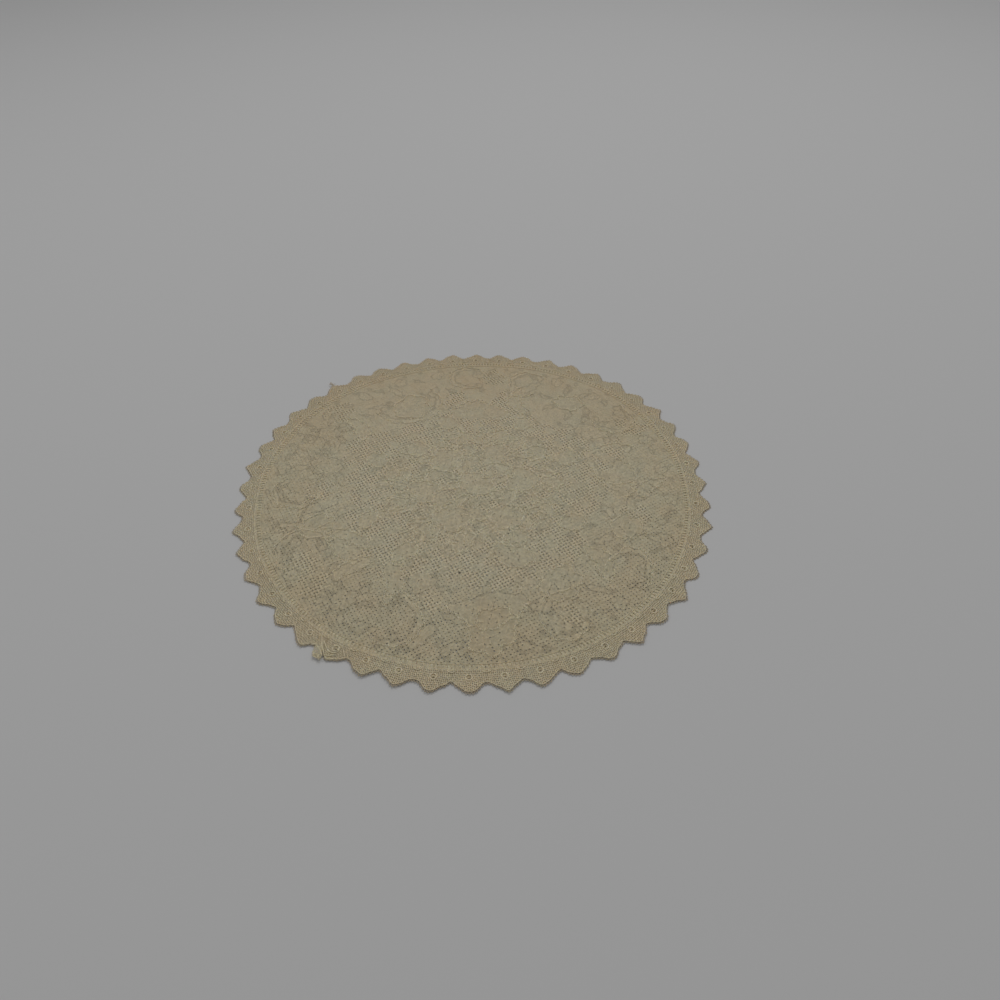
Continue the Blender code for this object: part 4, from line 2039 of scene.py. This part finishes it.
@dataclass
class StripJoin:
    """Where the strip's two ends meet in one tooth.

    One end is lapped over the other, with its cut edge drawn up in a fold, a scrap of it out at the
    rim and a few frayed threads. A second, finer fold runs down the tooth's other side. Each fold is a
    few places along the strip and radii, in millimetres.
    """

    edging: PointedEdging
    width: float = 4.2 * MM
    start: float = -10.6 * MM
    lean: float = 4.4 * MM
    inner: float = 117.0 * MM
    outer: float = 127.6 * MM
    thread: float = 0.42 * MM
    lies_at: float = 0.36 * MM
    raggedness: float = 0.35 * MM
    crumple: float = 0.16 * MM
    upturn: float = 0.25 * MM
    tuft_seed: int = 19
    tuft_threads: int = 12
    tuft_radius: float = 0.12 * MM
    tuft_foot: float = 0.30 * MM
    tuft_lengths: tuple[float, float] = (0.9, 1.8)
    tuft_places: tuple[float, float] = (3.0, 7.4)
    tuft_setbacks: tuple[float, float] = (0.6, 3.4)
    tuft_rises: tuple[float, float] = (0.2, 0.7)
    fold_radius: float = 0.30 * MM
    folds: tuple[tuple[tuple[float, float], ...], ...] = (
        ((-10.4, 116.3), (-8.5, 118.6), (-6.5, 120.9), (-4.1, 122.9), (-2.2, 124.7)),
        ((-7.0, 118.8), (-4.9, 120.3), (-1.9, 122.2), (0.6, 122.0), (2.1, 120.4), (1.5, 118.0)),
        (
            *((-10.4, 123.2), (-8.9, 122.2), (-5.6, 123.2), (-3.0, 125.3)),
            *((-3.1, 127.4), (-5.6, 127.6), (-7.6, 125.6)),
        ),
        ((-2.0, 124.6), (0.0, 123.8), (2.2, 122.3)),
        ((3.3, 118.2), (4.9, 119.9), (6.4, 121.4)),
    )

    def place(self, along: Array, radius: Array, height: Array | float) -> Array:
        """Returns laid points from the distance along the strip off the tooth's middle."""
        raised = self.edging.lapped(rows(along, radius, height))[:, 2]
        angle = PLAN.join_tooth * PLAN.tooth_angle + along / PLAN.eyelet_radius
        return PLAN.laid(polar(radius, angle, raised))

    def make_lap(self) -> Object:
        """Makes the upper end: a crumpled scrap of open mesh.

        Returns:
            The scrap in place.
        """
        lap = fresh(bpy.ops.mesh.primitive_grid_add, x_subdivisions=7, y_subdivisions=14, size=1.0)
        across, out = (points_of(lap)[:, :2] + 0.5).T
        ragged = self.raggedness * np.sin(out * 37.0) * (across < 0.04)
        along = self.start + across * self.width + self.lean * out**1.5 + ragged
        radius = self.inner + out * (self.outer - self.inner) + self.raggedness * np.sin(across * 9.0) * out
        height = self.lies_at + self.crumple * np.sin(across * 9.0 + out * 14.0) + self.upturn * out**3
        move_points(lap, rows(along, radius, height))
        apply_modifier(lap, "WIREFRAME", thickness=self.thread, use_even_offset=False)
        move_points(lap, self.place(*points_of(lap).T))
        return named(lap, "strip_end_lap")

    def make_folds(self) -> Object:
        """Makes the ridges of the folds.

        Returns:
            All of them as one.
        """
        name = "strip_end_folds"
        ridges = []
        for fold in self.folds:
            places = np.array(fold) * MM
            share = np.linspace(0, len(places) - 1, 5 * len(places))
            along, radius = (np.interp(share, np.arange(len(places)), column) for column in places.T)
            ridges.append(corded(name, self.place(along, radius, self.lies_at), self.fold_radius, 4))
        return join(name, ridges)

    def make_tuft(self) -> Object:
        """Makes the short frayed threads at the lap's outer corner.

        Returns:
            All of them as one.
        """
        name = "strip_end_tuft"
        chance = random.Random(self.tuft_seed)
        share = np.linspace(0, 1, 8)
        strands = []
        for _ in range(self.tuft_threads):
            reach = chance.uniform(*self.tuft_lengths) * MM
            course = chance.uniform(-1.6, 0.9) + chance.uniform(-1.8, 1.8) * share
            along = self.start + chance.uniform(*self.tuft_places) * MM + reach * share * np.sin(course)
            radius = self.outer - chance.uniform(*self.tuft_setbacks) * MM + reach * share * np.cos(course)
            rise = chance.uniform(*self.tuft_rises) * MM
            height = self.tuft_foot + rise * np.sin(math.pi * share * 0.9)
            strands.append(corded(name, self.place(along, radius, height), self.tuft_radius, 4))
        return join(name, strands)

    def build(self, thread: Material, bright: Material) -> list[Object]:
        """Builds and dresses the lap, its folds and its tuft.

        Args:
            thread: The material of the lap and the tuft.
            bright: The material of the folds.

        Returns:
            The pieces.
        """
        lap, tuft = self.make_lap(), self.make_tuft()
        folds = self.make_folds()
        for piece, material in ((lap, thread), (tuft, thread), (folds, bright)):
            dress(piece, material, Part.EDGING)
        return [lap, tuft, folds]


@dataclass(frozen=True)
class LooseThread:
    """One frayed thread: how long it is, which way it starts, how it bends and how high it stands."""

    length: float
    heading: float
    bend: float
    rise: float


@dataclass
class FrayedTip:
    """The few loose threads at one tooth's tip."""

    edging: PointedEdging
    angle: float = math.radians(134.7)
    root: float = 0.8 * MM
    root_height: float = 0.1 * MM
    thread_radius: float = 0.19 * MM
    threads: tuple[LooseThread, ...] = (
        LooseThread(3.0 * MM, -0.5, 0.8, 0.9 * MM),
        LooseThread(2.6 * MM, 0.6, -0.7, 0.6 * MM),
        LooseThread(2.3 * MM, 0.0, 1.0, 1.0 * MM),
        LooseThread(1.9 * MM, -1.2, -0.6, 0.4 * MM),
    )

    def build(self, thread: Material) -> Object:
        """Builds and dresses the threads.

        Args:
            thread: Their material.

        Returns:
            All of them as one.
        """
        name = "frayed_threads"
        share = np.linspace(0, 1, 18)
        strands = []
        for strand in self.threads:
            course = strand.heading + strand.bend * share
            step = strand.length / len(share)
            angle = (self.angle * PLAN.eyelet_radius + np.cumsum(np.sin(course)) * step) / PLAN.eyelet_radius
            radius = PLAN.tip_radius - self.root + np.cumsum(np.cos(course)) * step
            height = strand.rise * np.sin(math.pi * share * 0.85) + self.root_height
            route = PLAN.laid(polar(radius, angle, height + self.edging.middle_height))
            strands.append(corded(name, route, self.thread_radius, 4))
        frayed = join(name, strands)
        dress(frayed, thread, Part.EDGING)
        return frayed


# ---- The studio ----


@dataclass(frozen=True)
class Softbox:
    """A square soft light: where it stands, how wide it is and how strong. It faces the doily."""

    name: str
    place: tuple[float, float, float]
    width: float
    power: float


@dataclass
class Studio:
    """A plain pale floor, soft light, and the camera."""

    floor_width: float = 12.0
    floor_tone: float = 0.68
    floor_roughness: float = 0.7
    floor_gloss: float = 0.2
    ambient: float = 0.22
    boxes: tuple[Softbox, ...] = (
        Softbox("back_box", (0.30, 0.80, 1.65), 1.2, 8.8),
        Softbox("side_box", (-1.1, 0.1, 1.2), 0.8, 2.0),
    )
    frame_width: float = 1000.0
    focal_length: float = 735.0
    sensor_width: float = 36.0
    seen_at: tuple[float, float] = (473.5, 485.9)
    elevation: float = math.radians(44.29)
    azimuth: float = math.radians(2.58)
    roll: float = math.radians(-2.45)
    distance: float = 0.3993
    nearest: float = 0.01

    def aim(self) -> Matrix:
        """Works out the camera's placement, which shows the doily's middle at its own place in the frame.

        Returns:
            The camera's matrix.
        """
        back = Vector((0.0, -math.cos(self.elevation), math.sin(self.elevation)))
        back = Matrix.Rotation(self.azimuth, 3, "Z") @ back
        forward = -back
        right = forward.cross(Vector((0.0, 0.0, 1.0))).normalized()
        down = forward.cross(right)
        looking = Matrix((right, down, forward))
        offset = [(place - self.frame_width / 2) / self.focal_length for place in self.seen_at]
        swing = Vector((0.0, 0.0, 1.0)).rotation_difference(Vector((*offset, 1.0))).to_matrix()
        seen = swing @ Matrix.Rotation(self.roll, 3, "Z") @ looking
        axes = Matrix((seen[0], -seen[1], -seen[2])).transposed().to_4x4()
        return Matrix.Translation(back * self.distance) @ axes

    def add_camera(self) -> None:
        """Adds the camera."""
        lens = bpy.data.cameras.new("camera")
        lens.sensor_width = self.sensor_width
        lens.lens = self.sensor_width * self.focal_length / self.frame_width
        lens.clip_start = self.nearest
        camera = bpy.data.objects.new("camera", lens)
        camera.matrix_world = self.aim()
        bpy.context.scene.collection.objects.link(camera)
        bpy.context.scene.camera = camera

    def add_lights(self) -> None:
        """Adds the soft boxes and an even pale surround."""
        for box in self.boxes:
            lamp = bpy.data.lights.new(box.name, "AREA")
            lamp.size = box.width
            lamp.energy = box.power
            obj = bpy.data.objects.new(box.name, lamp)
            obj.location = box.place
            obj.rotation_euler = Vector(box.place).to_track_quat("Z", "Y").to_euler()
            bpy.context.scene.collection.objects.link(obj)
        world = bpy.data.worlds.new("surround")
        world.use_nodes = True
        surround = world.node_tree.nodes["Background"]
        surround.inputs["Color"].default_value = (1.0, 1.0, 1.0, 1.0)
        surround.inputs["Strength"].default_value = self.ambient
        bpy.context.scene.world = world
        bpy.context.scene.view_settings.view_transform = "Standard"

    def add_floor(self) -> None:
        """Adds the floor, which isn't part of the doily."""
        floor = fresh(bpy.ops.mesh.primitive_plane_add, size=self.floor_width)
        floor.name = "studio_floor"
        material = bpy.data.materials.new("pale_floor")
        material.use_nodes = True
        Nodes(material.node_tree).put(
            material.node_tree.nodes["Principled BSDF"],
            Base_Color=(self.floor_tone, self.floor_tone, self.floor_tone, 1.0),
            Roughness=self.floor_roughness,
            Specular_IOR_Level=self.floor_gloss,
        )
        floor.data.materials.append(material)

    def build(self) -> None:
        """Sets up the camera, the lights and the floor."""
        self.add_camera()
        self.add_lights()
        self.add_floor()


# ---- The doily ----

NET_YARN = Cotton("net_yarn", (0.772, 0.684, 0.496), (0.726, 0.630, 0.434), 0.42 * MM, 0.035 * MM)
CLOTH_STITCH = Cotton(
    "cloth_stitch",
    clean=(0.668, 0.602, 0.434),
    browned=(0.638, 0.553, 0.382),
    weave_pitch=0.44 * MM,
    weave_depth=0.065 * MM,
    weave_turn=math.radians(30.9),
    line_depth=0.12 * MM,
)
FIGURE_CORD = Cotton("figure_cord", (0.965, 0.875, 0.665), (0.935, 0.83, 0.605), 0.7 * MM, 0.09 * MM)
EDGING_YARN = Cotton("edging_yarn", (0.832, 0.742, 0.550), (0.790, 0.678, 0.470), 0.36 * MM, 0.03 * MM)
RIM_YARN = Cotton("rim_yarn", (0.895, 0.805, 0.605), (0.858, 0.755, 0.540), 0.55 * MM, 0.09 * MM)
# The picots' thread: browner than the rest, and darker still as painted shade of the rim's shaded outer
# side. The frayed threads take it too.
SHADED_PICOT_YARN = Cotton("shaded_picot_yarn", (0.66, 0.575, 0.415), (0.60, 0.505, 0.355), 0.40 * MM, 0.04 * MM)
SEAM_THREAD = Cotton("seam_thread", (0.865, 0.785, 0.59), (0.835, 0.74, 0.535), 0.4 * MM, 0.03 * MM)


def main() -> None:
    """Builds the studio and the doily."""
    logging.basicConfig(level=logging.INFO, format="%(name)s: %(message)s")
    Studio().build()
    effects = SharedEffects()
    finishes = (NET_YARN, CLOTH_STITCH, FIGURE_CORD, EDGING_YARN, RIM_YARN, SHADED_PICOT_YARN, SEAM_THREAD)
    net, cloth, figure_cord, edging_yarn, rim, picot, seam = (finish.build(effects) for finish in finishes)
    NetPanel(PatternChart()).build(net, cloth, figure_cord)
    edging = PointedEdging()
    joined = StripJoin(edging).build(rim, figure_cord)
    sewn = [SeamStitches(edging).build(seam), *joined, FrayedTip(edging).build(picot)]
    edging.build(edging_yarn, rim, picot, figure_cord, sewn)


if __name__ == "__main__":
    main()
